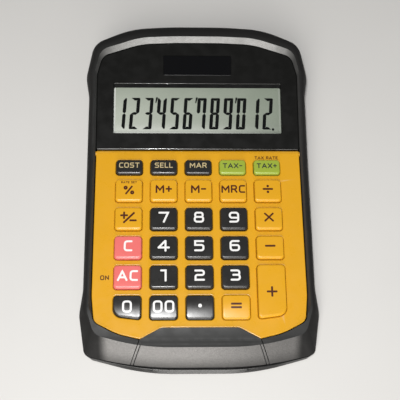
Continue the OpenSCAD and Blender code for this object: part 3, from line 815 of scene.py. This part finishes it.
def make_front_tab():
    """Lift tab: a section of the front wall with a groove beside each seam."""
    tab = upper_solid("front_tab_skin")
    combine(tab, tab_prism("keep", 0.0, -9, 6), "INTERSECT")
    behind = slab("behind", full_ring(inset(parting_v, apron_t)), -2, 30)
    combine(behind, tab_prism("under", 3.0, -12, tab_bottom), "INTERSECT")
    over_gasket = [part_ring(inset(parting_v, overlap_in), dz) for dz in (-3, 0.15)]
    cut(tab, behind, loft("over_gasket", over_gasket))
    grooves = [seam_groove(s) for s in (-1, 1)]
    cut(tab, joined("grooves", grooves))
    return finish_piece(
        tab, "front_tab_skin", "keyboard", "grained_black",
        [paints[m] for m in SHELL], ["front_tab"], smooth=22,
    )


def seam_x(y):
    """Half width of the tab at a place along its spreading sides."""
    t = (y - tab_v[0][1]) / (tab_v[1][1] - tab_v[0][1])
    return tab_v[0][0] + (tab_v[1][0] - tab_v[0][0]) * t


def wall_at(x, t):
    """Point of the front wall at x, at a share t of the way up it."""
    ring = upper_ring(t)[: 2 * ARC + 2]
    for a, b in zip(ring, ring[1:]):
        if a.x <= x <= b.x:
            return a.lerp(b, (x - a.x) / (b.x - a.x))
    return ring[0]


def seam_groove(side):
    """Cutter for the groove that runs up the tab beside its seam."""
    in_by, wide, deep = 0.9, 0.46, 0.9
    rows = []
    steps = 12
    for k in range(steps + 1):
        t = k / steps
        here = wall_at(seam_x(wall_at(28.5, t).y) - in_by, t)
        lean = math.radians(48)
        out = Vector((0, -math.sin(lean), math.cos(lean)))
        if k == 0:
            here = here + Vector((0, -1.2, -1.3))
        if k == steps:
            here = here + Vector((0, 0.6, 0.66))
        rows.append([
            here + Vector((dx, 0, 0)) + out * h
            for dx, h in ((-wide / 2, -deep), (wide / 2, -deep), (wide / 2, 2.0), (-wide / 2, 2.0))
        ])
    for row in rows:
        for p in row:
            p.x *= side
    return loft("groove", rows, ladder=False)


def make_lower_case():
    rings = [flat_ring(inset(bottom_v, 1.5), base_z), flat_ring(inset(bottom_v, 0.75), base_z + 0.22)]
    rings += [flat_ring(inset(bottom_v, 0.22), base_z + 0.75), flat_ring(bottom_v, base_z + 1.6)]
    for drop in (reveal + 0.25, reveal + 0.06, reveal):
        back = 0.12 * (drop == reveal)
        ring = []
        for p, q in zip(flat_ring(bottom_v, base_z + 1.6), part_ring(inset(parting_v, back), 0)):
            ring.append(q.lerp(p, drop / (q.z - p.z)))
        rings.append(ring)
    ledge = reveal - 0.35
    lip = ((overlap_in, -ledge), (1.25, -ledge), (1.25, -0.03))
    rings += [part_ring(inset(parting_v, g), dz) for g, dz in lip]
    # The last three steps, the ledge of the reveal, take the third slot, which is painted shade.
    shell = loft("lower_case_skin", rings, wall_slot=[WALL] * 6 + [BEVEL] * 3)
    hollow = [flat_ring(inset(bottom_v, 2), base_z + 2), part_ring(inset(parting_v, 1.8), 0.5)]
    cut(shell, loft("hollow", hollow))
    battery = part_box("battery_cover")
    mid_y = (battery[0].y + battery[1].y) / 2 / MM
    wide, deep = (battery[1].x - battery[0].x) / MM, (battery[1].y - battery[0].y) / MM
    add(shell, slab("housing", rounded(box_v(0, mid_y, wide - 1, deep - 1, 3)), base_z, 9.0))
    post_r, head_r, bore_r, foot_r = 3.1, 2.4, 1.35, 4.55
    add(shell, joined("posts", [post("post", x, y, post_r, base_z, top) for x, y, top in screw_posts()]))
    recess = prism(
        "recess",
        lambda g: rounded(box_v(0, mid_y, wide + 0.4 + 2 * g, deep + 0.4 + 2 * g, 3.2 + g)),
        [(0.35, 0), (0.35, base_z), (0.1, base_z + 0.1), (0, base_z + 0.35), (0, base_z + 1.7)],
    )
    cell_x, cell_r = -3, 10.6
    cell = post("cell", cell_x, mid_y, cell_r, 0, 8.2)
    seat = slab("seat", rounded(box_v(0, mid_y, wide - 5, deep - 5, 1.4)), 0, base_z + 2.35)
    strip = slab("strip", rounded(box_v(cell_x, mid_y, 8, 26.5, 0.5)), 0, 8.1)
    boss = post("boss", 18, mid_y, 1.32, 0, 8.0)
    cut(shell, recess, cell, seat, strip, boss)
    heads = [post("head", x, y, head_r, 0, base_z + 1.9) for x, y, _ in screw_posts()]
    bores = [post("bore", x, y, bore_r, 0, 30) for x, y, _ in screw_posts()]
    foot_places = [(s * x, y) for x, y in ((43, -57), (41, 57)) for s in (-1, 1)]
    feet = [post("foot", x, y, foot_r, 0, base_z + 0.4) for x, y in foot_places]
    cut(shell, joined("heads", heads), joined("bores", bores), joined("feet", feet))
    notches = [slab("notch", rounded(box_v(s * 21.5, -hl, 1.1, 3.4, 0.2)), base_z + 2.2, 8) for s in (-1, 1)]
    cut(shell, joined("notches", notches))
    return finish_piece(
        shell, "lower_case_skin", "case", "case_black",
        [paints["case_black"], paints["inner_black"], paints["painted_shade_black"]], ["lower_case"], smooth=25,
    )


def screw_posts():
    """(x, y, top) of the six posts that the case screws go into."""
    places = ((40, -73, 6.15), (45, 4, 6.35), (38, 67, 11.95))
    return [(s * x, y, top) for x, y, top in places for s in (-1, 1)]


# ---- display ----

lcd_w, lcd_front, lcd_back = 81.0, 28.2, 53.7
lcd_d = lcd_back - lcd_front
lcd_mid = (lcd_front + lcd_back) / 2
solar_w, solar_front, solar_back = 33.0, 57.8, 67.7
solar_mid = (solar_front + solar_back) / 2
fascia_t = 2.0
glass_n = -3.2


def make_fascia():
    """Fascia whose display opening slopes in along its back edge."""
    edge = 0.6
    levels = [(0, -fascia_t)] + round_edge(edge, 0.0)
    plate = prism("fascia", lambda g: full_ring(inset(fascia_v, g)), levels, on_display, wall_slot=WALL)
    lip = [(0.0, -fascia_t - 1, 0.0), (0.0, -fascia_t, 0.0), (0.12, -0.45, 1.35)]
    lip += [(0.12 + g, h, 1.35 + g * 0.6) for g, h in round_edge(0.35, 0.0)]
    lip.append((lip[-1][0], 2, lip[-1][2]))
    rings = []
    for grow, n, back in lip:
        x, front, rear = lcd_w / 2 + grow, lcd_front - grow * 0.4, lcd_back - 1.8 + back
        outline = rounded([(-x, front, 1.0), (x, front, 1.0), (x, rear, 0.8), (-x, rear, 0.8)])
        rings.append([on_display(p.x, p.y, n) for p in outline])
    # The opening's sloped back wall takes the third slot, which is painted shade.
    opening = loft("opening", rings, ladder=False, wall_slot=[LAND, BEVEL] + [WALL] * (len(rings) - 3))
    solar = prism(
        "solar",
        lambda g: rounded(box_v(0, solar_mid, solar_w + 2 * g, solar_back - solar_front + 2 * g, 0.6 + g)),
        [(0, -5)] + [(0.2 - g, h) for g, h in reversed(round_edge(0.2, 0.0))] + [(0.2, 2)],
        on_display,
    )
    cut(plate, joined("openings", [opening, solar]))
    return finish_piece(
        plate, "display_fascia_skin", "case", "fascia_black",
        [paints["edge_black"], paints["fascia_black"], paints["painted_shade_black"]], ["display_fascia"],
    )


SEGMENTS = {
    "0": "abcdef", "1": "bc", "2": "abged", "3": "abgcd", "4": "fgbc",
    "5": "afgcd", "6": "afgedc", "7": "fabc", "8": "abcdefg", "9": "abfgcd",
}


def segment_shapes(w, h, flat, side):
    """Outlines of a digit's seven bars in its own upright box; flat and side are the bars' thicknesses."""
    gap, m, k = 0.1, h / 2, flat / 2
    left, right = side + gap, w - side - gap
    shapes = {}
    for name, y, s in (("a", h, -1), ("d", 0, 1)):
        shapes[name] = [(gap + 0.1, y), (w - gap - 0.1, y), (right, y + s * flat), (left, y + s * flat)]
    tips = [(gap + k, 0), (left, -k), (right, -k), (w - gap - k, 0), (right, k), (left, k)]
    shapes["g"] = [(x, m + dy) for x, dy in tips]
    bar = [(0, gap + k), (0.35, gap), (0.6, gap), (1, gap + k)]
    bar += [(1, m - flat - gap), (0.35, m - gap), (0, m - gap - 0.3)]
    for name, x, s, up in (("b", w, -1, 1), ("f", 0, 1, 1), ("c", w, -1, -1), ("e", 0, 1, -1)):
        shapes[name] = [(x + s * side * across, m + up * along) for across, along in bar]
    return shapes


def make_digits():
    """The lit display: twelve slanted digits, their group marks and the point."""
    digit_w, digit_h = 4.5, 16.0
    pitch, first, base = 6.48, -39.8, 31.07
    slant = math.tan(math.radians(4.0))
    top, bottom = glass_n + 0.06, glass_n + 0.01
    shapes = segment_shapes(digit_w, digit_h, 1.35, 1.65)
    outlines = []
    for i, digit in enumerate("123456789012"):
        x0 = first + pitch * i
        for name in SEGMENTS[digit]:
            outlines.append([(x0 + x + y * slant, base + y) for x, y in shapes[name]])
        if i in (3, 6, 9):
            y = digit_h - 0.6
            mark = [(-1.2, -2.0), (-0.7, -2.0), (0.15, 0.9), (-0.85, 0.9)]
            outlines.append([(x0 + x + y * slant, base + y + dy) for x, dy in mark])
    x_point = first + pitch * 11 + digit_w + 0.75
    turns = [2 * math.pi * k / 16 for k in range(16)]
    outlines.append([(x_point + 0.62 * math.cos(a), base + 0.1 + 0.62 * math.sin(a)) for a in turns])
    bars = [slab("bar", [Vector(p) for p in o], bottom, top, on_display) for o in outlines]
    digits = joined("lcd_digits", bars)
    return finish_piece(digits, "lcd_digits", "case", "lcd_glass", [segment_black])


# ---- keyboard ----

key_rise = 1.5
# Legend lines of each key as (text, height, x, y, ink); the key's own colour comes from the record
KEYS = {
    "key_cost": [("COST", 2.6, 0, 0.75, ink_cream)],
    "key_sell": [("SELL", 2.6, 0, 0.75, ink_cream)],
    "key_margin": [("MAR", 2.6, 0, 0.75, ink_cream)],
    "key_tax_minus": [("TAX-", 2.5, 0, 0.55, ink_dark)],
    "key_tax_plus": [("TAX+", 2.5, 0, 0.55, ink_dark)],
    "key_percent": [("RATE SET", 1.05, 0, 4.0, ink_brown), ("%", 4.3, 0, 0.1, ink_brown)],
    "key_m_plus": [("M+", 4.1, 0, 0.7, ink_brown)],
    "key_m_minus": [("M-", 4.1, 0, 0.7, ink_brown)],
    "key_mrc": [("MRC", 3.9, 0, 0.7, ink_brown)],
    "key_divide": [(":", 4.9, 0, 0.7, ink_brown)],
    "key_sign": [("?", 5.4, 0, 0.4, ink_brown)],
    "key_7": [("7", 5.3, 0, 0.6, ink_white)],
    "key_8": [("8", 5.3, 0, 0.6, ink_white)],
    "key_9": [("9", 5.3, 0, 0.6, ink_white)],
    "key_multiply": [("*", 4.3, 0, 0.6, ink_brown)],
    "key_clear": [("C", 5.2, 0, 0.7, ink_white)],
    "key_4": [("4", 5.5, 0, 0.7, ink_white)],
    "key_5": [("5", 5.3, 0, 0.7, ink_white)],
    "key_6": [("6", 5.3, 0, 0.7, ink_white)],
    "key_minus": [("_", 4.8, 0, 0.6, ink_brown)],
    "key_all_clear": [("AC", 5.0, 0, 0.6, ink_white)],
    "key_1": [("1", 5.6, -0.1, 0.6, ink_white)],
    "key_2": [("2", 5.2, 0, 0.7, ink_white)],
    "key_3": [("3", 5.2, 0, 0.7, ink_white)],
    "key_plus": [("#", 4.8, 0, -0.2, ink_brown)],
    "key_0": [("0", 5.4, 0, 0.3, ink_white)],
    "key_00": [("00", 5.4, 0, 0.3, ink_white)],
    "key_point": [(".", 2.0, 0, 0.6, ink_white)],
    "key_equals": [("=", 4.9, 0, 0.6, ink_brown)],
}
FRONT_ROW = ("key_0", "key_00", "key_point", "key_equals")


def key_place(node):
    """Centre, width and depth of a key in the keypad's plane, from its CAD flange."""
    flange = 0.5
    low, high = keypad_box(node)
    w, d = high[0] - low[0] - 2 * flange - 0.5, high[1] - low[1] - 2 * flange
    # a slanted corner keeps the outline off the front of its box
    d += min(p.y for p in key_outline(node, w, d, flange)) + d / 2 + flange
    return ((low[0] + high[0]) / 2, high[1] - flange - d / 2), w, d


def key_outline(node, w, d, grow):
    """Key outline about its own centre; two keys of the front row have a large slanted corner."""
    x, y, r = w / 2 + grow, d / 2 + grow, 1.5 + grow
    left, right = node == "key_0", node == "key_plus"
    return rounded([
        (-x, -y + 1.6 * left, 4 + grow if left else r),
        (x, -y + 1.8 * right, 4 + grow if right else r),
        (x, y, r),
        (-x, y, r),
    ])


def with_sides(outline, parts=8):
    """A rounded rectangle's outline with its four straight sides divided."""
    n = len(outline)
    points = []
    for i, p in enumerate(outline):
        steps = parts if i % (ARC + 1) == ARC else 1
        points += [p.lerp(outline[(i + 1) % n], k / steps) for k in range(steps)]
    return points


def crown(node, w, d, x, y):
    """How far a key's face falls away at a place on it."""
    u, v = 2 * x / w, 2 * y / d
    if node in FRONT_ROW:
        fall = max(0.0, 0.52 - v)
        return 0.05 * u * u + 0.58 * fall ** 2 - 0.09 * fall ** 3
    return 0.06 * u * u + 0.3 * max(0.0, -0.4 - v) ** 2


def key_sides(steps=7):
    """(inset, extra inset along the front, share of the height) up a key's rounded edge."""
    turns = [math.pi / 2 * k / steps for k in range(steps + 1)]
    return [(0.45 * (1 - math.cos(a)), 0.7 * (1 - math.cos(a)), 0.2 + 0.8 * math.sin(a)) for a in turns]


def make_key(node):
    """Keycap: foot and flange, walls, rounded edge, and a dished face in rings about its middle."""
    (cx, cy), w, d = key_place(node)
    squeeze = 0.8 if d < 9 else 1.0
    rings = []

    def pushed(p, grow, front):
        """A point of the key's outline, pushed back in proportion to its distance from the back."""
        back = d / 2 + grow
        return Vector((p.x, back - (back - p.y) * (1 - front * squeeze / (d + 2 * grow))))

    for grow, n in ((-1.1, 0.2), (-1.1, -2.5), (0.5, -2.5), (0.5, -1.7), (0.0, -1.7)):
        rings.append([on_keypad(cx + p.x, cy + p.y, n) for p in with_sides(key_outline(node, w, d, grow))])
    for g, front, share in key_sides():
        outline = [pushed(p, -g, front) for p in with_sides(key_outline(node, w, d, -g))]
        rings.append([
            on_keypad(cx + p.x, cy + p.y, share * (key_rise - crown(node, w, d, p.x, p.y))) for p in outline
        ])
    count = len(outline)
    hub = Vector((0, front * squeeze / 2))
    steps = 14
    for k in range(1, steps):
        face = [hub + (p - hub) * (1 - k / steps) for p in outline]
        rings.append([on_keypad(cx + p.x, cy + p.y, key_rise - crown(node, w, d, p.x, p.y)) for p in face])
    points = [p for r in rings for p in r]
    faces = band_faces(len(rings), count)
    points.append(on_keypad(cx, cy + hub.y, key_rise - crown(node, w, d, 0, hub.y)))
    last = (len(rings) - 1) * count
    faces += [(last + i, last + (i + 1) % count, len(points) - 1) for i in range(count)]
    faces.append(tuple(range(count)))
    cap = add_mesh(node + "_cap", points, faces)
    slot = slot_of[node]
    return finish_piece(cap, node + "_cap", node, slot, [paints[slot]], [node], smooth=50)


OPEN, LOOP = False, True


def dash(x0, y0, x1, y1):
    return OPEN, [(x0, y0, 0), (x1, y1, 0)]


def path(*points):
    """Stroke through (x, y) or (x, y, corner radius) points."""
    return OPEN, [(*p, 0)[:3] for p in points]


def loop(x0, y0, x1, y1, r, top_r=None):
    """Closed stroke with corner radius r; top_r is the radius of the upper two corners, where it differs."""
    top = r if top_r is None else top_r
    return LOOP, [(x0, y0, r), (x1, y0, r), (x1, y1, top), (x0, y1, top)]


# Each character on a height of 1: its width, then its strokes. Five characters stand for the keys' larger
# signs: "_" for minus, "#" for plus, "*" for times, ":" for divide and "?" for plus or minus
GLYPHS = {
    "0": (0.76, loop(0, 0, 0.76, 1, 0.26)),
    "1": (0.42, path((0, 1), (0.42, 1), (0.42, 0))),
    "2": (0.88, path((0, 1), (0.88, 1, 0.22), (0.88, 0.52, 0.2), (0, 0.52, 0.2), (0, 0), (0.88, 0))),
    "3": (
        0.86, path((0, 1), (0.82, 1, 0.2), (0.82, 0.53, 0.16), (0.2, 0.53)),
        path((0.5, 0.53), (0.86, 0.53, 0.2), (0.86, 0, 0.24), (0, 0)),
    ),
    "4": (1.0, dash(0.64, 1, 0, 0.32), dash(0, 0.32, 1, 0.32), dash(0.68, 0.98, 0.68, 0)),
    "5": (0.86, path((0.84, 1), (0, 1), (0, 0.58), (0.86, 0.58, 0.22), (0.86, 0, 0.24), (0, 0))),
    "6": (
        0.88,
        path((0.84, 1), (0, 1, 0.26), (0, 0, 0.26), (0.88, 0, 0.26), (0.88, 0.56, 0.22), (0.02, 0.56)),
    ),
    "7": (0.9, path((0, 1), (0.9, 1), (0.46, 0))),
    "8": (0.88, loop(0.05, 0.53, 0.83, 1, 0.16, 0.2), loop(0, 0, 0.88, 0.53, 0.24, 0.2)),
    "9": (
        0.88,
        path((0.04, 0), (0.88, 0, 0.26), (0.88, 1, 0.26), (0, 1, 0.26), (0, 0.44, 0.22), (0.86, 0.44)),
    ),
    ".": (0.0, dash(0, 0.49, 0, 0.51)),
    "A": (0.94, path((0, 0), (0.47, 1), (0.94, 0)), dash(0.17, 0.3, 0.77, 0.3)),
    "C": (0.72, path((0.72, 1), (0.04, 1, 0.26), (0, 0, 0.26), (0.72, 0))),
    "E": (0.6, path((0.6, 1), (0, 1), (0, 0), (0.6, 0)), dash(0, 0.52, 0.52, 0.52)),
    "L": (0.58, path((0, 1), (0, 0), (0.58, 0))),
    "M": (0.98, path((0, 0), (0, 1), (0.49, 0.35), (0.98, 1), (0.98, 0))),
    "N": (0.76, path((0, 0), (0, 1), (0.76, 0), (0.76, 1))),
    "O": (0.8, loop(0, 0, 0.8, 1, 0.26)),
    "R": (
        0.74, path((0, 0), (0, 1), (0.7, 1, 0.22), (0.7, 0.46, 0.22), (0, 0.46)), dash(0.42, 0.46, 0.74, 0),
    ),
    "S": (0.72, path((0.7, 1), (0, 1, 0.22), (0, 0.53, 0.2), (0.72, 0.53, 0.2), (0.72, 0, 0.22), (0, 0))),
    "T": (0.78, dash(0, 1, 0.78, 1), dash(0.39, 1, 0.39, 0)),
    "X": (0.84, dash(0, 0, 0.84, 1), dash(0, 1, 0.84, 0)),
    "+": (0.66, dash(0, 0.5, 0.66, 0.5), dash(0.33, 0.17, 0.33, 0.83)),
    "-": (0.5, dash(0, 0.5, 0.5, 0.5)),
    "_": (1.0, dash(0, 0.5, 1, 0.5)),
    "#": (1.0, dash(0, 0.5, 1, 0.5), dash(0.5, 0, 0.5, 1)),
    "*": (1.04, dash(0, 0, 1.04, 1), dash(0, 1, 1.04, 0)),
    "=": (1.0, dash(0, 0.3, 1, 0.3), dash(0, 0.7, 1, 0.7)),
    ":": (1.0, dash(0, 0.5, 1, 0.5), dash(0.5, 0.86, 0.5, 0.87), dash(0.5, 0.13, 0.5, 0.14)),
    "%": (1.2, dash(0.22, 0, 0.98, 1), loop(0, 0.68, 0.31, 1, 0.15), loop(0.89, 0, 1.2, 0.32, 0.15)),
    "?": (
        1.5, dash(0.3, 0, 1.3, 1), dash(0, 0.75, 0.6, 0.75), dash(0.3, 0.45, 0.3, 1.05),
        dash(0.95, 0.2, 1.5, 0.2),
    ),
    " ": (0.3,),
}


def stroke_points(closed, vs, size, step=0.8):
    """Centre line of a stroke, with its corners rounded and long runs divided."""
    scaled_vs = [(x * size, y * size, r * size) for x, y, r in vs]
    if closed:
        line = rounded(scaled_vs)
    else:
        last = len(scaled_vs) - 1
        line = [Vector(scaled_vs[0][:2])]
        for i in range(1, last):
            line += corner(scaled_vs[i - 1], scaled_vs[i], scaled_vs[i + 1])
        line.append(Vector(scaled_vs[last][:2]))
    points = []
    pairs = zip(line, line[1:] + line[:1]) if closed else zip(line, line[1:])
    for a, b in pairs:
        parts = max(1, math.ceil((b - a).length / step))
        points += [a.lerp(b, k / parts) for k in range(parts)]
    if not closed:
        points.append(line[-1])
    return [p for i, p in enumerate(points) if i == 0 or (p - points[i - 1]).length > 1e-4]


def stroke_solid(closed, line, half, height, thick):
    """Points and faces of a flat line with squarish ends, or of a round dot, on the surface height(x, y)."""
    n = len(line)
    left, right = [], []
    for i, p in enumerate(line):
        a = line[i - 1] if (closed or i > 0) else None
        b = line[(i + 1) % n] if (closed or i < n - 1) else None
        e = (p - a).normalized() if a is not None else (b - p).normalized()
        f = (b - p).normalized() if b is not None else e
        m = Vector((-e.y - f.y, e.x + f.x)) / max(0.5, 1 + e.dot(f))
        left.append(p + m * half)
        right.append(p - m * half)
    flat = left + right
    last = n if closed else n - 1
    polygons = [(i, (i + 1) % n, n + (i + 1) % n, n + i) for i in range(last)]
    if not closed:
        for end, sign in ((0, 1), (n - 1, -1)):
            start = (left[end] - line[end]) if sign > 0 else (right[end] - line[end])
            base = len(flat)
            square = 0.7 if n > 2 or (line[1] - line[0]).length > half else 0.0
            for k in range(1, 6):
                a = math.pi * k / 6
                reach = max(abs(math.cos(a)), abs(math.sin(a))) ** -square
                flat.append(line[end] + turned(start, a) * reach)
            first, final = (end, n + end) if sign > 0 else (n + end, end)
            polygons.append((final, *reversed(range(base, base + 5)), first))
    return thick_sheet(flat, polygons, height, thick)


def thick_sheet(flat, polygons, height, thick):
    """Closed solid over flat polygons: (x, y, z) of its points, and its faces."""
    n = len(flat)
    points = [(p.x, p.y, height(p.x, p.y) + thick) for p in flat]
    points += [(p.x, p.y, height(p.x, p.y) - 0.1) for p in flat]
    faces = [tuple(f) for f in polygons] + [tuple(n + i for i in reversed(f)) for f in polygons]
    edges = dict.fromkeys((a, b) for f in polygons for a, b in zip(f, f[1:] + f[:1]))
    faces += [(b, a, n + a, n + b) for a, b in edges if (b, a) not in edges]
    return points, faces


def text_mesh(name, lines, place, height):
    """Raised print: lines are (text, size, x, y, ink), and height(x, y) is the surface under it."""
    points, faces, inks, slots = [], [], [], []
    lift = 0.035
    for text, size, x0, y0, colour in lines:
        half = size * (0.08 if colour == ink_cream else 0.1 if size < 2.2 else 0.095)
        half = 0.85 if text == "." else min(half, 0.45)
        body = size - 2 * half
        space = body * 0.3 + 2 * half * 0.55
        widths = [GLYPHS[c][0] * body for c in text]
        total = sum(widths) + space * (len(text) - 1)
        x = x0 - total / 2
        if colour not in inks:
            inks.append(colour)
        for c, w in zip(text, widths):
            for closed, vs in GLYPHS[c][1:]:
                line = stroke_points(closed, vs, body)
                line = [Vector((x + p.x, y0 - body / 2 + p.y)) for p in line]
                wide = half * (1.35 if c == ":" and len(line) <= 2 else 1.0)
                made, polygons = stroke_solid(closed, line, wide, height, lift)
                start = len(points)
                points += [place(*p) for p in made]
                faces += [tuple(start + i for i in f) for f in polygons]
                slots += [inks.index(colour)] * len(polygons)
                lift += 0.001
            x += w + space
    mesh = bpy.data.meshes.new(name)
    mesh.from_pydata([tuple(p) for p in points], [], faces)
    for face, index in zip(mesh.polygons, slots):
        face.material_index = index
    return placed(name, mesh), inks


def make_legend(node):
    (cx, cy), w, d = key_place(node)

    def place(x, y, n):
        return on_keypad(cx + x, cy + y, n)

    def height(x, y):
        return key_rise - crown(node, w, d, x, y)

    obj, inks = text_mesh("legend_" + node, KEYS[node], place, height)
    return finish_piece(obj, "legend_" + node, node, slot_of[node], inks)


def make_panel_print():
    """Small words on the panel beside two keys."""
    (tax_x, tax_y), _, tax_d = key_place("key_tax_plus")
    (on_x, on_y), on_w, _ = key_place("key_all_clear")
    lines = [
        ("TAX RATE", 1.5, tax_x, tax_y + tax_d / 2 + 1.6, ink_brown),
        ("ON", 2.2, on_x - on_w / 2 - 4.1, on_y, ink_brown),
    ]
    obj, inks = text_mesh("panel_print", lines, on_keypad, lambda x, y: 0.0)
    return finish_piece(obj, "panel_print", "keyboard", "yellow_panel", inks)


def make_panel():
    """Yellow panel with its skirt, hinge nose and pins, and a rounded hole for every key."""
    edge = 0.4
    levels = [(0, -1.6)] + round_edge(edge, 0.0)
    plate = prism("panel", lambda g: full_ring(inset(panel_v, g)), levels, on_keypad)
    skirt = slab("skirt", full_ring(inset(panel_v, 1.0)), back_top, -1.2, on_keypad)
    cut(skirt, slab("core", full_ring(inset(panel_v, 1.9)), back_top - 1, -1.6, on_keypad))
    nose = rod("nose", on_keypad(0, hinge_y, hinge_n), (1, 0, 0), nose_r, nose_span, 48)
    pins = rod("pins", on_keypad(0, hinge_y, hinge_n), (1, 0, 0), pin_r, pin_span, 48)
    add(plate, skirt, nose, pins)
    along = on_keypad(0, 1, 0) - on_keypad(0, 0, 0)
    between_rows = (-50.5, -36.6, -22.7, -8.8, 4.6)
    between_columns = (-24.4, -8.1, 8.1, 24.4)
    divide(plate, [(on_keypad(0, y, 0), along) for y in between_rows])
    divide(plate, [((x, 0, 0), (1, 0, 0)) for x in between_columns])
    holes = []
    gap, flare = 0.2, 0.5
    for node in KEYS:
        (cx, cy), w, d = key_place(node)
        levels = [(gap, -3)] + [(gap + g, h) for g, h in round_edge(flare, 0.0)] + [(gap + flare, 1)]
        rings = [
            [on_keypad(cx + p.x, cy + p.y, n) for p in key_outline(node, w, d, g)] for g, n in levels
        ]
        holes.append(loft("hole", rings, ladder=False))
    cut(plate, joined("holes", holes))
    return finish_piece(
        plate, "keyboard_panel", "keyboard", "yellow_panel", [paints["yellow_panel"]], ["keyboard_frame"],
        smooth=10,
    )


make_upper_case()
make_front_tab()
make_lower_case()
make_fascia()
make_digits()
make_panel()
for node in KEYS:
    make_key(node)
    make_legend(node)
make_panel_print()


# ---- floor, light and camera ----


def plain_floor():
    mesh = bpy.data.meshes.new("floor")
    far = 3.0
    mesh.from_pydata([(-far, -far, 0), (far, -far, 0), (far, far, 0), (-far, far, 0)], [], [(0, 1, 2, 3)])
    obj = placed("floor", mesh)
    p = Paint("floor_pale", 0.6)
    p.colour(p.mix(p.noise(60.0, 3.0), (0.70, 0.69, 0.67), (0.74, 0.73, 0.71)))
    mesh.materials.append(p.material)


def softbox(name, aim, azimuth, elevation, distance, size, power, colour=(1, 1, 1)):
    """Area light seen from the object at an azimuth (0 is the front) and an elevation, in degrees."""
    data = bpy.data.lights.new(name, "AREA")
    data.shape = "RECTANGLE"
    data.size, data.size_y = size
    data.energy = power
    data.color = colour
    a, e = math.radians(azimuth), math.radians(elevation)
    back = Vector((math.sin(a) * math.cos(e), -math.cos(a) * math.cos(e), math.sin(e)))
    obj = placed(name, data)
    obj.location = Vector(aim) + back * distance
    obj.rotation_euler = back.to_track_quat("Z", "Y").to_euler()


def world_light(strength):
    world = bpy.data.worlds.new("studio")
    world.use_nodes = True
    background = world.node_tree.nodes["Background"]
    background.inputs["Color"].default_value = (0.93, 0.96, 1.0, 1.0)
    background.inputs["Strength"].default_value = strength
    bpy.context.scene.world = world


def make_camera():
    """Looks down on the keyboard from in front of it, a little to the left."""
    place, aim = Vector((-14.84, -179.07, 394.62)) * MM, Vector((0, 0, 15)) * MM
    roll = math.radians(-0.92)
    forward = (aim - place).normalized()
    right = forward.cross(Vector((0, 1, 0))).normalized()
    up = right.cross(forward)
    right, up = right * math.cos(roll) + up * math.sin(roll), up * math.cos(roll) - right * math.sin(roll)
    data = bpy.data.cameras.new("camera")
    data.lens, data.sensor_width = 79.7, 36.0
    data.shift_x, data.shift_y = 0.0046, -0.0216
    obj = placed("camera", data)
    turn = Matrix((right, up, -forward)).transposed().to_4x4()
    obj.matrix_world = Matrix.Translation(place) @ turn
    bpy.context.scene.camera = obj


plain_floor()
make_camera()
world_light(0.08)
softbox("front_window", (0, 0, 0.02), -14, 52, 1.5, (0.66, 0.97), 14.5, (1.0, 0.98, 0.95))
softbox("low_window", (0, 0, 0.02), 0, 10, 1.5, (0.75, 0.5), 9, (1.0, 0.98, 0.95))
softbox("by_the_camera", (-0.0122, 0.0025, 0.024), -4.7, 67, 0.43, (0.016, 0.016), 1.0)
bpy.context.scene.view_settings.view_transform = "Standard"
